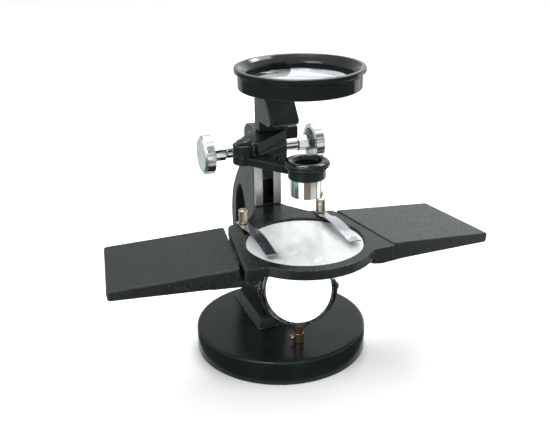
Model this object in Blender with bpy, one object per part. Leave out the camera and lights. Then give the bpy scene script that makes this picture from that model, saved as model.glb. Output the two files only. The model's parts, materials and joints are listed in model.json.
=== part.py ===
"""A student's dissecting microscope on a round cast base.

Run with: blender --background --python part.py

The frame: +X is the user's right, -Y faces the user, +Z is up, and the origin is the
centre of the base's underside. Sizes below are in millimetres; MM turns them into
Blender's metres where a mesh is made.
"""

import math

import bmesh
import bpy
from mathutils import Matrix, Vector

MM = 0.001
GAP = 0.3                      # clearance between touching pieces

# Base
BASE_R = 60.0
BASE_H = 17.5
BOLT_YS = {"front": 22.0, "back": 44.0}
BOLT_R = 3.0
BOLT_HEAD_R = 5.0
BOLT_HEAD_H = 6.0
BOLT_END = 31.0

# Limb, the cast pillar with its carrying slot
LIMB_HALF = 9.75
LIMB_FRONT = 24.5              # front face behind the slideways
LIMB_TOP = 154.0
LIMB_BACK = ((39.5, 154.0), (44.2, 149.5), (45.3, 142.0), (50.0, 131.0), (57.0, 119.0),
             (66.5, 108.0), (75.0, 95.5), (79.2, 83.0), (80.0, 70.0), (77.5, 56.0),
             (70.5, 41.0), (61.5, 28.5), (53.0, 19.0))
LIMB_LOWER_FRONT = ((12.0, 19.0), (12.3, 34.0), (15.0, 52.0), (20.0, 68.0))
SLOT_Y = 57.0
SLOT_Z = 69.5
SLOT_HALF_Y = 12.5
SLOT_HALF_Z = 33.5
FOOT_HALF = 20.5
FOOT_FRONT = -10.5
FOOT_BACK = 55.0
FOOT_H = 6.2
FOOT_SLOPE = 3.5
SIDE_SCREW = (29.5, 148.5)
SIDE_SCREW_R = 1.2

# Slideways and rack channel
STRIP_INNER = 4.0
STRIP_FRONT = 22.0
STRIP_BACK = LIMB_FRONT - GAP
CHANNEL_HALF = 6.8
CHANNEL_BACK = 30.6

# Rack and pinion, module 1
MODULE = 1.0
TEETH = 12
PITCH_R = MODULE * TEETH / 2
PINION_Y = 35.0
PINION_Z = 136.0
PINION_HALF = 5.8
RACK_HALF = 6.4
RACK_BACK = 24.6
RACK_LOW = 117.0
RACK_HIGH = 151.5
RACK_END_LAND = 1.2
BACKLASH = 0.18                # taken off each flank
FLANK = math.tan(math.radians(20.0))
SHAFT_R = 2.6
SHAFT_END = 41.0
BUSH_R = 4.3
BUSH_END = 26.6
COLLAR_FLATS = 9.6
COLLAR_END = 36.5
KNOB_IN = COLLAR_END + GAP
KNOB_OUT = 44.3
KNOB_R = 13.65
KNOB_LOBES = 18

# Stage
STAGE_Y = -45.6                # centre of the glass
STAGE_TOP = 97.4
STAGE_LOW = STAGE_TOP - 6.5
LUG_LOW = STAGE_TOP - 9.0
STAGE_R = 45.5
STAGE_FRONT = -74.5            # front of the side lugs
STAGE_SIDE_FRONT = 49.8
STAGE_SIDE_BACK = 39.5
OPENING_R = 35.5
SEAT_R = 38.1
GLASS_R = 37.8
GLASS_LOW = 93.7
GLASS_TOP = 95.9
FLANGE_LOW = 78.0
FLANGE_FRONT = 13.0
STAGE_SCREW_X = 5.5
STAGE_SCREW_Z = 84.5
STAGE_SCREW_R = 1.9
STAGE_SCREW_END = 32.5

# Hand rests
REST_AT = (46.0, -36.5, 96.8)  # middle of the inner top edge
REST_LONG = 80.0
REST_HALF = 34.0
REST_SWEEP = math.radians(8.6)
REST_DROOP = {"left": math.radians(4.6), "right": math.radians(7.2)}
REST_DEEP = 12.0
REST_TIP = 6.5
REST_WALL = 2.2
TONGUE_LOW = -12.8
TONGUE_HIGH = -8.7
TONGUE_END = -13.0
TONGUE_ROOT = 18.0
TONGUE_HALF = 12.0
REST_SCREW = (-5.7, -20.9)     # in the rest's own plan
REST_SCREW_R = 1.9
REST_SCREW_END = 93.5

# Carriage
CARRIAGE_LOW = 128.5
CARRIAGE_TOP = 154.6
CARRIAGE_BACK = STRIP_FRONT - GAP
PIVOT = (-24.0, 0.0)
BOSS_R = 7.8
BOSS_LOW = 144.3
BOSS_TOP = 152.0
LUG_OUT = 18.2
LUG_Y = (11.0, 19.0)
LUG_Z = (147.8, 156.4)
TENON_HALF = 6.0
TENON_FRONT = 11.0
TENON_BACK = 18.0
TENON_LOW = 140.0
PIVOT_SCREW_R = 2.5
PIVOT_HEAD_R = 5.0
RACK_SCREW_ZS = {"lower": 131.2, "upper": 136.2}
RACK_SCREW_R = 1.1
RACK_SCREW_HEAD_R = 2.1
RACK_SCREW_SEAT = 12.7
RACK_SCREW_END = 26.3
GRUB = (14.5, 152.0)
GRUB_R = 1.6
GRUB_END = 16.5

# Swinging lens arm and eyepiece
ARM_LOW = 138.5
ARM_HIGH = BOSS_LOW - GAP
ARM_WIDE = 9.0
EYE = (3.8, -40.0)
RING_R = 12.0
RING_LOW = 137.8
RING_HIGH = 144.2
BARREL_R = 10.5
BARREL_BORE = 9.3
BARREL_LOW = 126.0
EYE_LENS_EDGE = (128.9, 130.9)
EYE_HOLE = 7.85

# Magnifier
CELL_Y = -38.4
CELL_R = 37.8
CELL_LOW = 195.35
CELL_TOP = 208.2
LIP_R = 39.9
CELL_OPENING = 32.0
CELL_BORE = 34.5
CELL_SHOULDER = 200.3
TONGUE_Z = 200.2
BRACKET_HALF = 10.0
MAG_SCREW_YS = {"front": 6.0, "back": 14.5}
MAG_SCREW_R = 1.6
MAG_SCREW_END = 187.0

# Mirror
MIRROR_Y = -34.5
MIRROR_Z = 57.5
MIRROR_YAW = math.radians(-10.0)
MIRROR_TILT = math.radians(70.0)   # from facing straight up
MIRROR_FRAME_R = 23.9
MIRROR_GLASS_R = 22.6
FORK_IN = 24.6
FORK_OUT = 26.1
FORK_HALF = 4.0
TRUNNION_R = 1.2
SWIVEL_R = 1.9
SWIVEL_LOW = 11.0
SOCKET_TOP = 25.0
SOCKET_R = 3.7
SOCKET_NECK_R = 2.9
SET_SCREW_Z = 21.8
SET_SCREW_R = 1.0

# Stage clips
CLIP_X = 28.0
CLIP_Y = -6.0
CLIP_HALF = 3.75
CLIP_THICK = 0.8
POST_R = 3.2
POST_TOP = 108.5
CLIP_PIN_R = 1.5
CLIP_PIN_LOW = 91.0

SIDES = {"left": -1, "right": 1}


# ---------------------------------------------------------------- materials

def finish(name, colour, roughness, metallic):
    made = bpy.data.materials.new(name)
    made.use_nodes = True
    shader = made.node_tree.nodes["Principled BSDF"]
    shader.inputs["Base Color"].default_value = (*colour, 1.0)
    shader.inputs["Roughness"].default_value = roughness
    shader.inputs["Metallic"].default_value = metallic
    return made


def black_paint(name):
    return finish(name, (0.018, 0.019, 0.021), 0.28, 0.0)


def rest_paint(name):
    return finish(name, (0.022, 0.023, 0.025), 0.5, 0.0)


def black_plastic(name):
    return finish(name, (0.02, 0.02, 0.021), 0.22, 0.0)


def steel(name):
    return finish(name, (0.62, 0.62, 0.6), 0.32, 1.0)


def blacked_steel(name):
    return finish(name, (0.04, 0.04, 0.042), 0.4, 0.6)


def chrome(name):
    return finish(name, (0.85, 0.86, 0.86), 0.08, 1.0)


def brass(name):
    return finish(name, (0.72, 0.55, 0.33), 0.3, 1.0)


def mirror_glass(name):
    return finish(name, (0.95, 0.96, 0.96), 0.02, 1.0)


def opal_glass(name):
    return finish(name, (0.88, 0.91, 0.90), 0.06, 0.0)


def clear_glass(name):
    made = finish(name, (0.93, 0.98, 0.96), 0.02, 0.0)
    shader = made.node_tree.nodes["Principled BSDF"]
    shader.inputs["Transmission Weight"].default_value = 1.0
    shader.inputs["IOR"].default_value = 1.5
    return made


# ------------------------------------------------------------- mesh helpers

def turned(outline, steps=48, at=(0.0, 0.0, 0.0), axis="Z"):
    """A closed (radius, height) outline turned about an axis through a point."""
    on_axis = 1e-6
    mesh = bmesh.new()
    rings = []
    for radius, height in outline:
        count = 1 if radius < on_axis else steps
        ring = []
        for step in range(count):
            angle = 2 * math.pi * (step + 0.5) / steps
            ring.append(mesh.verts.new((radius * math.cos(angle), radius * math.sin(angle), height)))
        rings.append(ring)
    for number, ring in enumerate(rings):
        after = rings[(number + 1) % len(rings)]
        if len(ring) == len(after) == 1:
            continue
        flat = outline[number][1] == outline[(number + 1) % len(outline)][1]
        if flat and 1 in (len(ring), len(after)):
            mesh.faces.new(max(ring, after, key=len))
            continue
        for step in range(steps):
            near = (step + 1) % steps
            corners = (ring[step % len(ring)], ring[near % len(ring)], after[near % len(after)],
                       after[step % len(after)])
            mesh.faces.new(list(dict.fromkeys(corners)))
    loose = [vert for vert in mesh.verts if not vert.link_faces]
    bmesh.ops.delete(mesh, geom=loose, context="VERTS")
    turn = {
        "Z": Matrix(),
        "X": Matrix.Rotation(math.pi / 2, 4, "Y"),
        "Y": Matrix.Rotation(-math.pi / 2, 4, "X"),
    }
    mesh.transform(Matrix.Translation(at) @ turn[axis])
    return mesh


def centred(at, axis):
    """The point with the two given coordinates, at zero along the axis."""
    return {"Z": (at[0], at[1], 0.0), "X": (0.0, at[0], at[1]), "Y": (at[0], 0.0, at[1])}[axis]


def rod(radius, low, high, at=(0.0, 0.0), axis="Z", steps=16):
    """A solid cylinder between two heights along an axis."""
    outline = [(0.0, low), (radius, low), (radius, high), (0.0, high)]
    return turned(outline, steps, centred(at, axis), axis)


def hole(radius, low, high, at=(0.0, 0.0), axis="Z", steps=12):
    """The cutter for a hole that leaves clearance around a pin of the given radius."""
    return rod(radius + GAP, low, high, at, axis, steps)


def prism(outline, low, high, axis="Z"):
    """A flat outline pulled along an axis: (x, y) for Z, (y, z) for X, (x, z) for Y."""
    place = {
        "Z": lambda a, b, h: (a, b, h),
        "X": lambda a, b, h: (h, a, b),
        "Y": lambda a, b, h: (a, h, b),
    }[axis]
    mesh = bmesh.new()
    bottom = [mesh.verts.new(place(a, b, low)) for a, b in outline]
    top = [mesh.verts.new(place(a, b, high)) for a, b in outline]
    mesh.faces.new(bottom[::-1])
    mesh.faces.new(top)
    count = len(outline)
    for i in range(count):
        mesh.faces.new((bottom[i], bottom[(i + 1) % count], top[(i + 1) % count], top[i]))
    return mesh


def box(low, high):
    corners = [(low[0], low[1]), (high[0], low[1]), (high[0], high[1]), (low[0], high[1])]
    return prism(corners, low[2], high[2])


def hull(points):
    """The convex body through a handful of corner points."""
    mesh = bmesh.new()
    for point in points:
        mesh.verts.new(point)
    made = bmesh.ops.convex_hull(mesh, input=mesh.verts)
    spare = [v for v in made["geom_interior"] + made["geom_unused"] if isinstance(v, bmesh.types.BMVert)]
    bmesh.ops.delete(mesh, geom=spare, context="VERTS")
    return mesh


def arc(centre, radius, start, end, steps):
    """Points on a circle from one angle to another, in degrees."""
    points = []
    for step in range(steps + 1):
        angle = math.radians(start + (end - start) * step / steps)
        points.append((centre[0] + radius * math.cos(angle), centre[1] + radius * math.sin(angle)))
    return points


def smooth(knots, per_span):
    """A Catmull-Rom curve through the knots."""
    knots = [Vector(knot) for knot in knots]
    ends = [2 * knots[0] - knots[1], *knots, 2 * knots[-1] - knots[-2]]
    points = []
    for a, b, c, d in zip(ends, ends[1:], ends[2:], ends[3:]):
        for step in range(per_span):
            t = step / per_span
            spot = b + (c - a) * (t / 2) + (2 * a - 5 * b + 4 * c - d) * (t * t / 2)
            points.append(tuple(spot + (3 * b - a - 3 * c + d) * (t ** 3 / 2)))
    points.append(tuple(knots[-1]))
    return points


def lens_outline(radius, low, high, sag, steps=3):
    """A biconvex lens: a straight edge between two spherical faces."""
    faces = []
    for edge, side in ((low, -1), (high, 1)):
        face = []
        for step in range(steps + 1):
            r = radius * step / steps
            face.append((r, edge + side * sag * (1 - (r / radius) ** 2)))
        faces.append(face)
    return faces[0] + faces[1][::-1]


# ----------------------------------------------------------- object helpers

def settle(mesh, name, origin):
    """Turns a bmesh in millimetres into mesh data in metres about the given origin."""
    bmesh.ops.recalc_face_normals(mesh, faces=mesh.faces)
    if mesh.calc_volume(signed=True) < 0:
        bmesh.ops.reverse_faces(mesh, faces=mesh.faces)
    mesh.transform(Matrix.Scale(MM, 4) @ Matrix.Translation(-Vector(origin)))
    data = bpy.data.meshes.new(name)
    mesh.to_mesh(data)
    mesh.free()
    data.shade_smooth()
    data.set_sharp_from_angle(angle=math.radians(35))
    return data


def piece(name, mesh, made, origin=(0.0, 0.0, 0.0), parent=None):
    """A named sub-part; its origin is a point in the frame of its parent, or of the world."""
    data = settle(mesh, name, origin)
    data.materials.append(made)
    obj = bpy.data.objects.new(name, data)
    bpy.context.scene.collection.objects.link(obj)
    obj.location = Vector(origin) * MM
    obj.parent = parent
    return obj


def joined(body, mesh, operation):
    """Adds or takes away a shape with an exact Boolean; the shape stays as a hidden helper."""
    tool = bpy.data.objects.new(f"{body.name}.{operation.lower()}{len(body.modifiers)}",
                                settle(mesh, "tool", (0.0, 0.0, 0.0)))
    bpy.context.scene.collection.objects.link(tool)
    tool.parent = body.parent
    tool.hide_render = True
    tool.display_type = "WIRE"
    step = body.modifiers.new(operation.lower(), "BOOLEAN")
    step.operation = operation
    step.solver = "EXACT"
    step.object = tool


def cut(body, *meshes):
    for mesh in meshes:
        joined(body, mesh, "DIFFERENCE")


def add(body, *meshes):
    for mesh in meshes:
        joined(body, mesh, "UNION")


def pivot(name, at, turn=(0.0, 0.0, 0.0)):
    """An empty on a joint's axis."""
    empty = bpy.data.objects.new(name, None)
    bpy.context.scene.collection.objects.link(empty)
    empty.location = Vector(at) * MM
    empty.rotation_euler = turn
    return empty


def screw(name, made, head_r, head, shank_r, shank, at, axis="Z", **where):
    """A screw along an axis: head runs between its two heights, and the shank on to its own end."""
    meet, head_end = head
    outline = [(0.0, shank), (shank_r, shank), (shank_r, meet), (head_r, meet), (head_r, head_end),
               (0.0, head_end)]
    return piece(name, turned(outline, 12, centred(at, axis), axis), made, **where)


# ------------------------------------------------------------------- stand

def base_casting():
    outline = [(0.0, 0.0), (59.2, 0.0), (BASE_R, 0.8), (BASE_R, BASE_H - 1.8), (59.5, BASE_H - 0.5),
               (58.2, BASE_H), (0.0, BASE_H)]
    body = piece("base_casting", turned(outline, 64), black_paint("base_enamel"))
    for y in BOLT_YS.values():
        cut(body, rod(BOLT_HEAD_R + 0.5, -1.0, BOLT_HEAD_H + 1.2, (0.0, y)),
            hole(BOLT_R, BOLT_HEAD_H, BASE_H + 1, (0.0, y), steps=16))
    cut(body, hole(SOCKET_NECK_R, SWIVEL_LOW - 1, BASE_H + 1, (0.0, MIRROR_Y), steps=16))


def base_bolts():
    for where, y in BOLT_YS.items():
        screw(f"base_bolt_{where}", steel(f"base_bolt_{where}_steel"), BOLT_HEAD_R,
              (BOLT_HEAD_H + 0.9, 0.9), BOLT_R, BOLT_END, (0.0, y))


def limb_casting():
    outline = [*LIMB_LOWER_FRONT, (LIMB_FRONT, FLANGE_LOW - 0.5), (LIMB_FRONT, LIMB_TOP - 3),
               (LIMB_FRONT + 0.9, LIMB_TOP - 0.9), (LIMB_FRONT + 3, LIMB_TOP), *smooth(LIMB_BACK, 2)]
    body = piece("limb_casting", prism(outline, -LIMB_HALF, LIMB_HALF, "X"), black_paint("limb_enamel"))
    low = BASE_H + GAP
    foot = []
    for inset, z in ((0.0, low), (FOOT_SLOPE, low + FOOT_H)):
        for x in (-FOOT_HALF + inset, FOOT_HALF - inset):
            foot += [(x, FOOT_FRONT + inset, z), (x, FOOT_BACK - 8 - inset, z)]
            foot.append((math.copysign(12.0 - inset, x), FOOT_BACK - inset, z))
    add(body, hull(foot))
    slot = []
    for step in range(32):
        angle = 2 * math.pi * step / 32
        slot.append((SLOT_Y + SLOT_HALF_Y * math.cos(angle), SLOT_Z + SLOT_HALF_Z * math.sin(angle)))
    past = LIMB_HALF + 5
    axle = (PINION_Y, PINION_Z)
    cut(body, prism(slot, -past, past, "X"))
    cut(body, box((-CHANNEL_HALF, STRIP_FRONT - 2, STAGE_TOP + 0.4),
                  (CHANNEL_HALF, CHANNEL_BACK, LIMB_TOP + 6)))
    cut(body, rod(PITCH_R + MODULE + 0.6, -CHANNEL_HALF, CHANNEL_HALF, axle, "X", 24))
    cut(body, hole(BUSH_R, -past, past, axle, "X", 20))
    for y in BOLT_YS.values():
        cut(body, hole(BOLT_R, BASE_H - 7, BOLT_END + 0.5, (0.0, y), steps=16))
    for sign in SIDES.values():
        cut(body, hole(STAGE_SCREW_R, STRIP_FRONT - 2, STAGE_SCREW_END + 0.5,
                       (sign * STAGE_SCREW_X, STAGE_SCREW_Z), "Y"))
    cut(body, hole(SIDE_SCREW_R, -past, -CHANNEL_HALF - 0.2, SIDE_SCREW, "X"))


def limb_side_screw():
    screw("limb_side_screw", steel("limb_side_screw_steel"), 2.3, (-LIMB_HALF - 0.2, -LIMB_HALF - 1.1),
          SIDE_SCREW_R, -CHANNEL_HALF - 0.5, SIDE_SCREW, "X")


def slideways():
    for side, sign in SIDES.items():
        low, high = sorted((sign * STRIP_INNER, sign * LIMB_HALF))
        body = box((low, STRIP_FRONT, STAGE_TOP + 0.5), (high, STRIP_BACK, LIMB_TOP - 0.3))
        piece(f"slideway_{side}", body, steel(f"slideway_{side}_steel"))


def pinion_bushes():
    for side, sign in SIDES.items():
        ends = (sign * (CHANNEL_HALF + GAP), sign * BUSH_END)
        inner = SHAFT_R + GAP
        outline = [(inner, ends[0]), (BUSH_R, ends[0]), (BUSH_R, ends[1]), (inner, ends[1])]
        body = turned(outline, 20, (0.0, PINION_Y, PINION_Z), "X")
        piece(f"pinion_bush_{side}", body, chrome(f"pinion_bush_{side}_chrome"))


def stage_outline():
    ring = arc((0.0, STAGE_Y), STAGE_R, -140.5, -39.5, 20)
    right = [(STAGE_SIDE_FRONT, STAGE_FRONT), (STAGE_SIDE_BACK, -7.5), (37.0, -3.5), (27.0, -0.5),
             (21.5, 2.5), (11.0, 19.0), (LIMB_HALF, STRIP_BACK)]
    left = [(-x, y) for x, y in reversed(right)]
    return ring + right + left


def stage_plate():
    body = piece("stage_plate", prism(stage_outline(), STAGE_LOW, STAGE_TOP), black_paint("stage_enamel"))
    for sign in SIDES.values():
        lug = [(STAGE_SIDE_FRONT, STAGE_FRONT), (STAGE_SIDE_BACK, -7.5), (33.0, -9.0), (36.6, -40.0),
               (37.5, STAGE_FRONT)]
        add(body, prism([(sign * x, y) for x, y in lug], LUG_LOW, STAGE_LOW + 1))
    flange = LIMB_HALF - 0.5
    add(body, box((-flange, FLANGE_FRONT, FLANGE_LOW), (flange, STRIP_BACK - 0.1, STAGE_LOW + 1)))
    low, high = LUG_LOW - 8, STAGE_TOP + 3
    seat = [(0.0, low), (OPENING_R, low), (OPENING_R, GLASS_LOW - GAP), (SEAT_R, GLASS_LOW - GAP),
            (SEAT_R, high), (0.0, high)]
    cut(body, turned(seat, 48, (0.0, STAGE_Y, 0.0)))
    for sign in SIDES.values():
        cut(body, hole(CLIP_PIN_R, low, high, (sign * CLIP_X, CLIP_Y)))
        cut(body, hole(STAGE_SCREW_R, FLANGE_FRONT - 8, LIMB_FRONT + 5,
                       (sign * STAGE_SCREW_X, STAGE_SCREW_Z), "Y"))
        cut(body, hole(REST_SCREW_R, low, REST_SCREW_END + 0.8, rest_point(sign, *REST_SCREW)))


def stage_screws():
    for side, sign in SIDES.items():
        screw(f"stage_screw_{side}", steel(f"stage_screw_{side}_steel"), 3.6,
              (FLANGE_FRONT - GAP, FLANGE_FRONT - 2.8), STAGE_SCREW_R, STAGE_SCREW_END,
              (sign * STAGE_SCREW_X, STAGE_SCREW_Z), "Y")


def stage_glass():
    outline = [(0.0, GLASS_LOW), (GLASS_R - 0.4, GLASS_LOW), (GLASS_R, GLASS_LOW + 0.4),
               (GLASS_R, GLASS_TOP - 0.4), (GLASS_R - 0.4, GLASS_TOP), (0.0, GLASS_TOP)]
    piece("stage_glass", turned(outline, 48, (0.0, STAGE_Y, 0.0)), opal_glass("stage_glass_disc"))


# -------------------------------------------------------------- hand rests

def rest_point(sign, out, along):
    """A point of a rest's plan, out from its inner edge and along it, in the world's plan."""
    x = REST_AT[0] + out * math.cos(REST_SWEEP) - along * math.sin(REST_SWEEP)
    y = REST_AT[1] + out * math.sin(REST_SWEEP) + along * math.cos(REST_SWEEP)
    return sign * x, y


def mirrored(mesh, sign):
    if sign < 0:
        mesh.transform(Matrix.Scale(-1, 4, (1, 0, 0)))
    return mesh


def rest_block(droop, out, along, high, low_in, low_out):
    """A slab with a sloping underside, in the rest's drooping frame."""
    corners = []
    for x, low in ((out[0], low_in), (out[1], low_out)):
        for y in along:
            corners += [(x, y, high), (x, y, low)]
    block = hull(corners)
    block.transform(Matrix.Rotation(droop, 4, "Y"))
    return block


def tongue_plan():
    """The tongue's rounded plan, with the open slot that passes its screw."""
    low, high = REST_SCREW[1] - TONGUE_HALF, REST_SCREW[1] + TONGUE_HALF
    corner = TONGUE_HALF / 2
    slot = REST_SCREW_R + 0.5
    plan = [(TONGUE_ROOT, low), (TONGUE_ROOT, high)]
    plan += arc((TONGUE_END + corner, high - corner), corner, 90, 180, 4)
    plan += [(TONGUE_END, REST_SCREW[1] + slot)]
    plan += arc(REST_SCREW, slot, 90, -90, 8)
    plan += [(TONGUE_END, REST_SCREW[1] - slot)]
    plan += arc((TONGUE_END + corner, low + corner), corner, 180, 270, 4)
    return plan[::-1]


def hand_rests():
    for side, sign in SIDES.items():
        holder = pivot(f"hand_rest_{side}_slide", (sign * REST_AT[0], *REST_AT[1:]),
                       (0.0, 0.0, sign * REST_SWEEP))
        droop = REST_DROOP[side]
        shell = rest_block(droop, (0.0, REST_LONG), (-REST_HALF, REST_HALF), 0.0, -REST_DEEP, -REST_TIP)
        body = piece(f"hand_rest_{side}", mirrored(shell, sign), rest_paint(f"hand_rest_{side}_paint"),
                     parent=holder)
        inner = REST_HALF - REST_WALL
        below = -REST_DEEP - 8
        hollow = rest_block(droop, (REST_WALL, REST_LONG - REST_WALL), (-inner, inner), -REST_WALL - 0.3,
                            below, below)
        cut(body, mirrored(hollow, sign))
        add(body, mirrored(prism(tongue_plan(), TONGUE_LOW, TONGUE_HIGH), sign))


def rest_screws():
    for side, sign in SIDES.items():
        top = REST_AT[2] + TONGUE_LOW - GAP
        screw(f"rest_screw_{side}", steel(f"rest_screw_{side}_steel"), 4.6, (top, top - 3.0), REST_SCREW_R,
              REST_SCREW_END, rest_point(sign, *REST_SCREW))


# ---------------------------------------------------------------- focusing

def carriage_block():
    back, right, top = CARRIAGE_BACK, LIMB_HALF, CARRIAGE_TOP
    near, far = (-15.5, -6.0), (-27.5, 7.0)
    upper = [(right, 9.6, BOSS_LOW), (right, 9.6, 150.9), (right, 11.1, top), (right, back, BOSS_LOW),
             (right, back, top), (-right, back, BOSS_LOW), (-right, back, top), (-10.0, 9.4, top),
             (*near, BOSS_LOW), (*near, 146.2), (-16.0, -4.6, BOSS_TOP), (*far, BOSS_LOW),
             (*far, BOSS_TOP)]
    body = piece("carriage_block", hull(upper), black_paint("carriage_enamel"))
    lower = [(right, 9.5, CARRIAGE_LOW), (right, back, CARRIAGE_LOW), (-right, back, CARRIAGE_LOW),
             (-right, 13.0, CARRIAGE_LOW), (-11.0, -0.5, BOSS_LOW + 1), (-18.0, 13.0, BOSS_LOW + 1),
             (right, 9.9, BOSS_LOW + 1), (right - 0.4, back - 0.4, BOSS_LOW + 1),
             (-right, back - 0.4, BOSS_LOW + 1)]
    add(body, hull(lower))
    boss = [(0.0, BOSS_LOW), (BOSS_R, BOSS_LOW), (BOSS_R, BOSS_TOP - 1.2), (BOSS_R - 1.2, BOSS_TOP),
            (0.0, BOSS_TOP)]
    add(body, turned(boss, 24, (*PIVOT, 0.0)))
    lug_low, lug_high = LUG_Z
    ends = [(right - 1, lug_low), (right - 1, lug_high - 4), (right + 1.5, lug_high), (LUG_OUT, lug_low),
            (LUG_OUT, lug_high)]
    add(body, hull([(x, y, z) for x, z in ends for y in LUG_Y]))
    cut(body, hole(PIVOT_SCREW_R, CARRIAGE_LOW, top + 8, PIVOT, steps=16),
        hole(PIVOT_HEAD_R, BOSS_TOP, top + 8, PIVOT, steps=24))
    cut(body, box((-TENON_HALF - GAP, TENON_FRONT - GAP, TENON_LOW - 0.5),
                  (TENON_HALF + GAP, TENON_BACK + GAP, top + 8)))
    cut(body, hole(GRUB_R, TENON_HALF - 3, right + 10, GRUB, "X"))
    for z in RACK_SCREW_ZS.values():
        cut(body, hole(RACK_SCREW_HEAD_R, -20.0, RACK_SCREW_SEAT + GAP, (0.0, z), "Y"),
            hole(RACK_SCREW_R, RACK_SCREW_SEAT - 1, back + 3, (0.0, z), "Y"))


def rack_screws():
    for where, z in RACK_SCREW_ZS.items():
        screw(f"rack_screw_{where}", steel(f"rack_screw_{where}_steel"), RACK_SCREW_HEAD_R,
              (RACK_SCREW_SEAT, RACK_SCREW_SEAT - 2), RACK_SCREW_R, RACK_SCREW_END, (0.0, z), "Y")


def grub_screw():
    body = rod(GRUB_R, TENON_HALF + 1, GRUB_END, GRUB, "X", 12)
    piece("magnifier_grub_screw", body, steel("magnifier_grub_screw_steel"))


def tooth_half(above):
    """Half the thickness of a tooth, a distance above the pitch line."""
    return math.pi * MODULE / 4 - BACKLASH - above * FLANK


def focus_rack():
    pitch_line = PINION_Y - PITCH_R
    root, tip = pitch_line - 1.25 * MODULE, pitch_line + 0.95 * MODULE
    outline = [(RACK_BACK, RACK_HIGH), (RACK_BACK, RACK_LOW)]
    pitch = math.pi * MODULE
    first = math.ceil((RACK_LOW + RACK_END_LAND - PINION_Z) / pitch - 0.5)
    last = math.floor((RACK_HIGH - RACK_END_LAND - PINION_Z) / pitch - 0.5)
    outline.append((root, RACK_LOW))
    for number in range(first, last + 1):
        centre = PINION_Z + (number + 0.5) * pitch
        wide, thin = tooth_half(root - pitch_line), tooth_half(tip - pitch_line)
        outline += [(root, centre - wide), (tip, centre - thin), (tip, centre + thin), (root, centre + wide)]
    outline.append((root, RACK_HIGH))
    body = piece("focus_rack", prism(outline, -RACK_HALF, RACK_HALF, "X"), blacked_steel("focus_rack_steel"))
    rib = STRIP_INNER - 0.4
    add(body, box((-rib, STRIP_FRONT, RACK_LOW + 0.5), (rib, RACK_BACK + 1, RACK_HIGH - 0.5)))
    for z in RACK_SCREW_ZS.values():
        cut(body, hole(RACK_SCREW_R, STRIP_FRONT - 2, RACK_SCREW_END + 0.3, (0.0, z), "Y"))


def pinion_shaft():
    root, tip = PITCH_R - 1.25 * MODULE, PITCH_R + 0.95 * MODULE
    outline = []
    for number in range(TEETH):
        centre = 2 * math.pi * number / TEETH - math.pi / 2
        for radius, sign in ((root, -1), (tip, -1), (tip, 1), (root, 1)):
            angle = centre + sign * tooth_half(radius - PITCH_R) / radius
            outline.append((radius * math.cos(angle), radius * math.sin(angle)))
    outline = [(PINION_Y + b, PINION_Z + a) for a, b in outline]
    axle = (0.0, PINION_Y, PINION_Z)
    body = piece("pinion_shaft", prism(outline, -PINION_HALF, PINION_HALF, "X"), steel("pinion_steel"),
                 origin=axle)
    add(body, rod(SHAFT_R, -SHAFT_END, SHAFT_END, (PINION_Y, PINION_Z), "X"))


def knob_outline():
    outline = []
    steps = KNOB_LOBES * 2
    for step in range(steps):
        angle = 2 * math.pi * step / steps
        radius = KNOB_R - 0.45 * (1 - math.cos(KNOB_LOBES * angle))
        outline.append((PINION_Y + radius * math.cos(angle), PINION_Z + radius * math.sin(angle)))
    return outline


def knobs():
    axle = (0.0, PINION_Y, PINION_Z)
    for side, sign in SIDES.items():
        ends = sorted((sign * KNOB_IN, sign * (KNOB_OUT - 1.2)))
        body = piece(f"knob_{side}", prism(knob_outline(), *ends, "X"), chrome(f"knob_{side}_chrome"),
                     origin=axle)
        crown = [(0.0, sign * (KNOB_OUT - 2)), (12.2, sign * (KNOB_OUT - 2)),
                 (12.2, sign * (KNOB_OUT - 1.0)), (11.2, sign * KNOB_OUT), (0.0, sign * KNOB_OUT)]
        add(body, turned(crown, 28, axle, "X"))
        cup = [(5.4, sign * (KNOB_IN - 1)), (10.4, sign * (KNOB_IN - 1)), (10.4, sign * (KNOB_IN + 4.2)),
               (5.4, sign * (KNOB_IN + 4.2))]
        cut(body, turned(cup, 24, axle, "X"))
        bore = sorted((sign * (KNOB_IN - 1), sign * (SHAFT_END + 0.4)))
        cut(body, hole(SHAFT_R, *bore, (PINION_Y, PINION_Z), "X", 16))


def knob_collars():
    axle = (0.0, PINION_Y, PINION_Z)
    corner = COLLAR_FLATS / 2 / math.cos(math.pi / 6)
    nut = arc((PINION_Y, PINION_Z), corner, 20, 320, 5)
    for side, sign in SIDES.items():
        ends = sorted((sign * (BUSH_END + GAP), sign * COLLAR_END))
        body = piece(f"knob_collar_{side}", prism(nut, *ends, "X"), chrome(f"knob_collar_{side}_chrome"),
                     origin=axle)
        cut(body, hole(SHAFT_R, ends[0] - 1, ends[1] + 1, (PINION_Y, PINION_Z), "X", 16))


# --------------------------------------------------- lens arm and eyepiece

def lens_arm():
    run = Vector(EYE) - Vector(PIVOT)
    side = Vector((-run.y, run.x)).normalized() * (ARM_WIDE / 2)
    start, end = Vector(PIVOT), Vector(EYE)
    bar = [tuple(start - side), tuple(end - side), tuple(end + side), tuple(start + side)]
    hub = [(0.0, ARM_LOW), (BOSS_R, ARM_LOW), (BOSS_R, ARM_HIGH), (0.0, ARM_HIGH)]
    body = piece("lens_arm", turned(hub, 24, (*PIVOT, 0.0)), black_paint("lens_arm_enamel"),
                 origin=(*PIVOT, ARM_LOW))
    add(body, prism(bar, ARM_LOW + 0.01, ARM_HIGH - 0.01))
    ring = [(0.0, RING_LOW), (RING_R, RING_LOW), (RING_R, RING_HIGH), (0.0, RING_HIGH)]
    add(body, turned(ring, 28, (*EYE, 0.0)))
    low, high = ARM_LOW - 8, RING_HIGH + 6
    cut(body, hole(BARREL_R, low, high, EYE, "Z", 28), hole(PIVOT_SCREW_R, low, high, PIVOT, steps=16))


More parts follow.
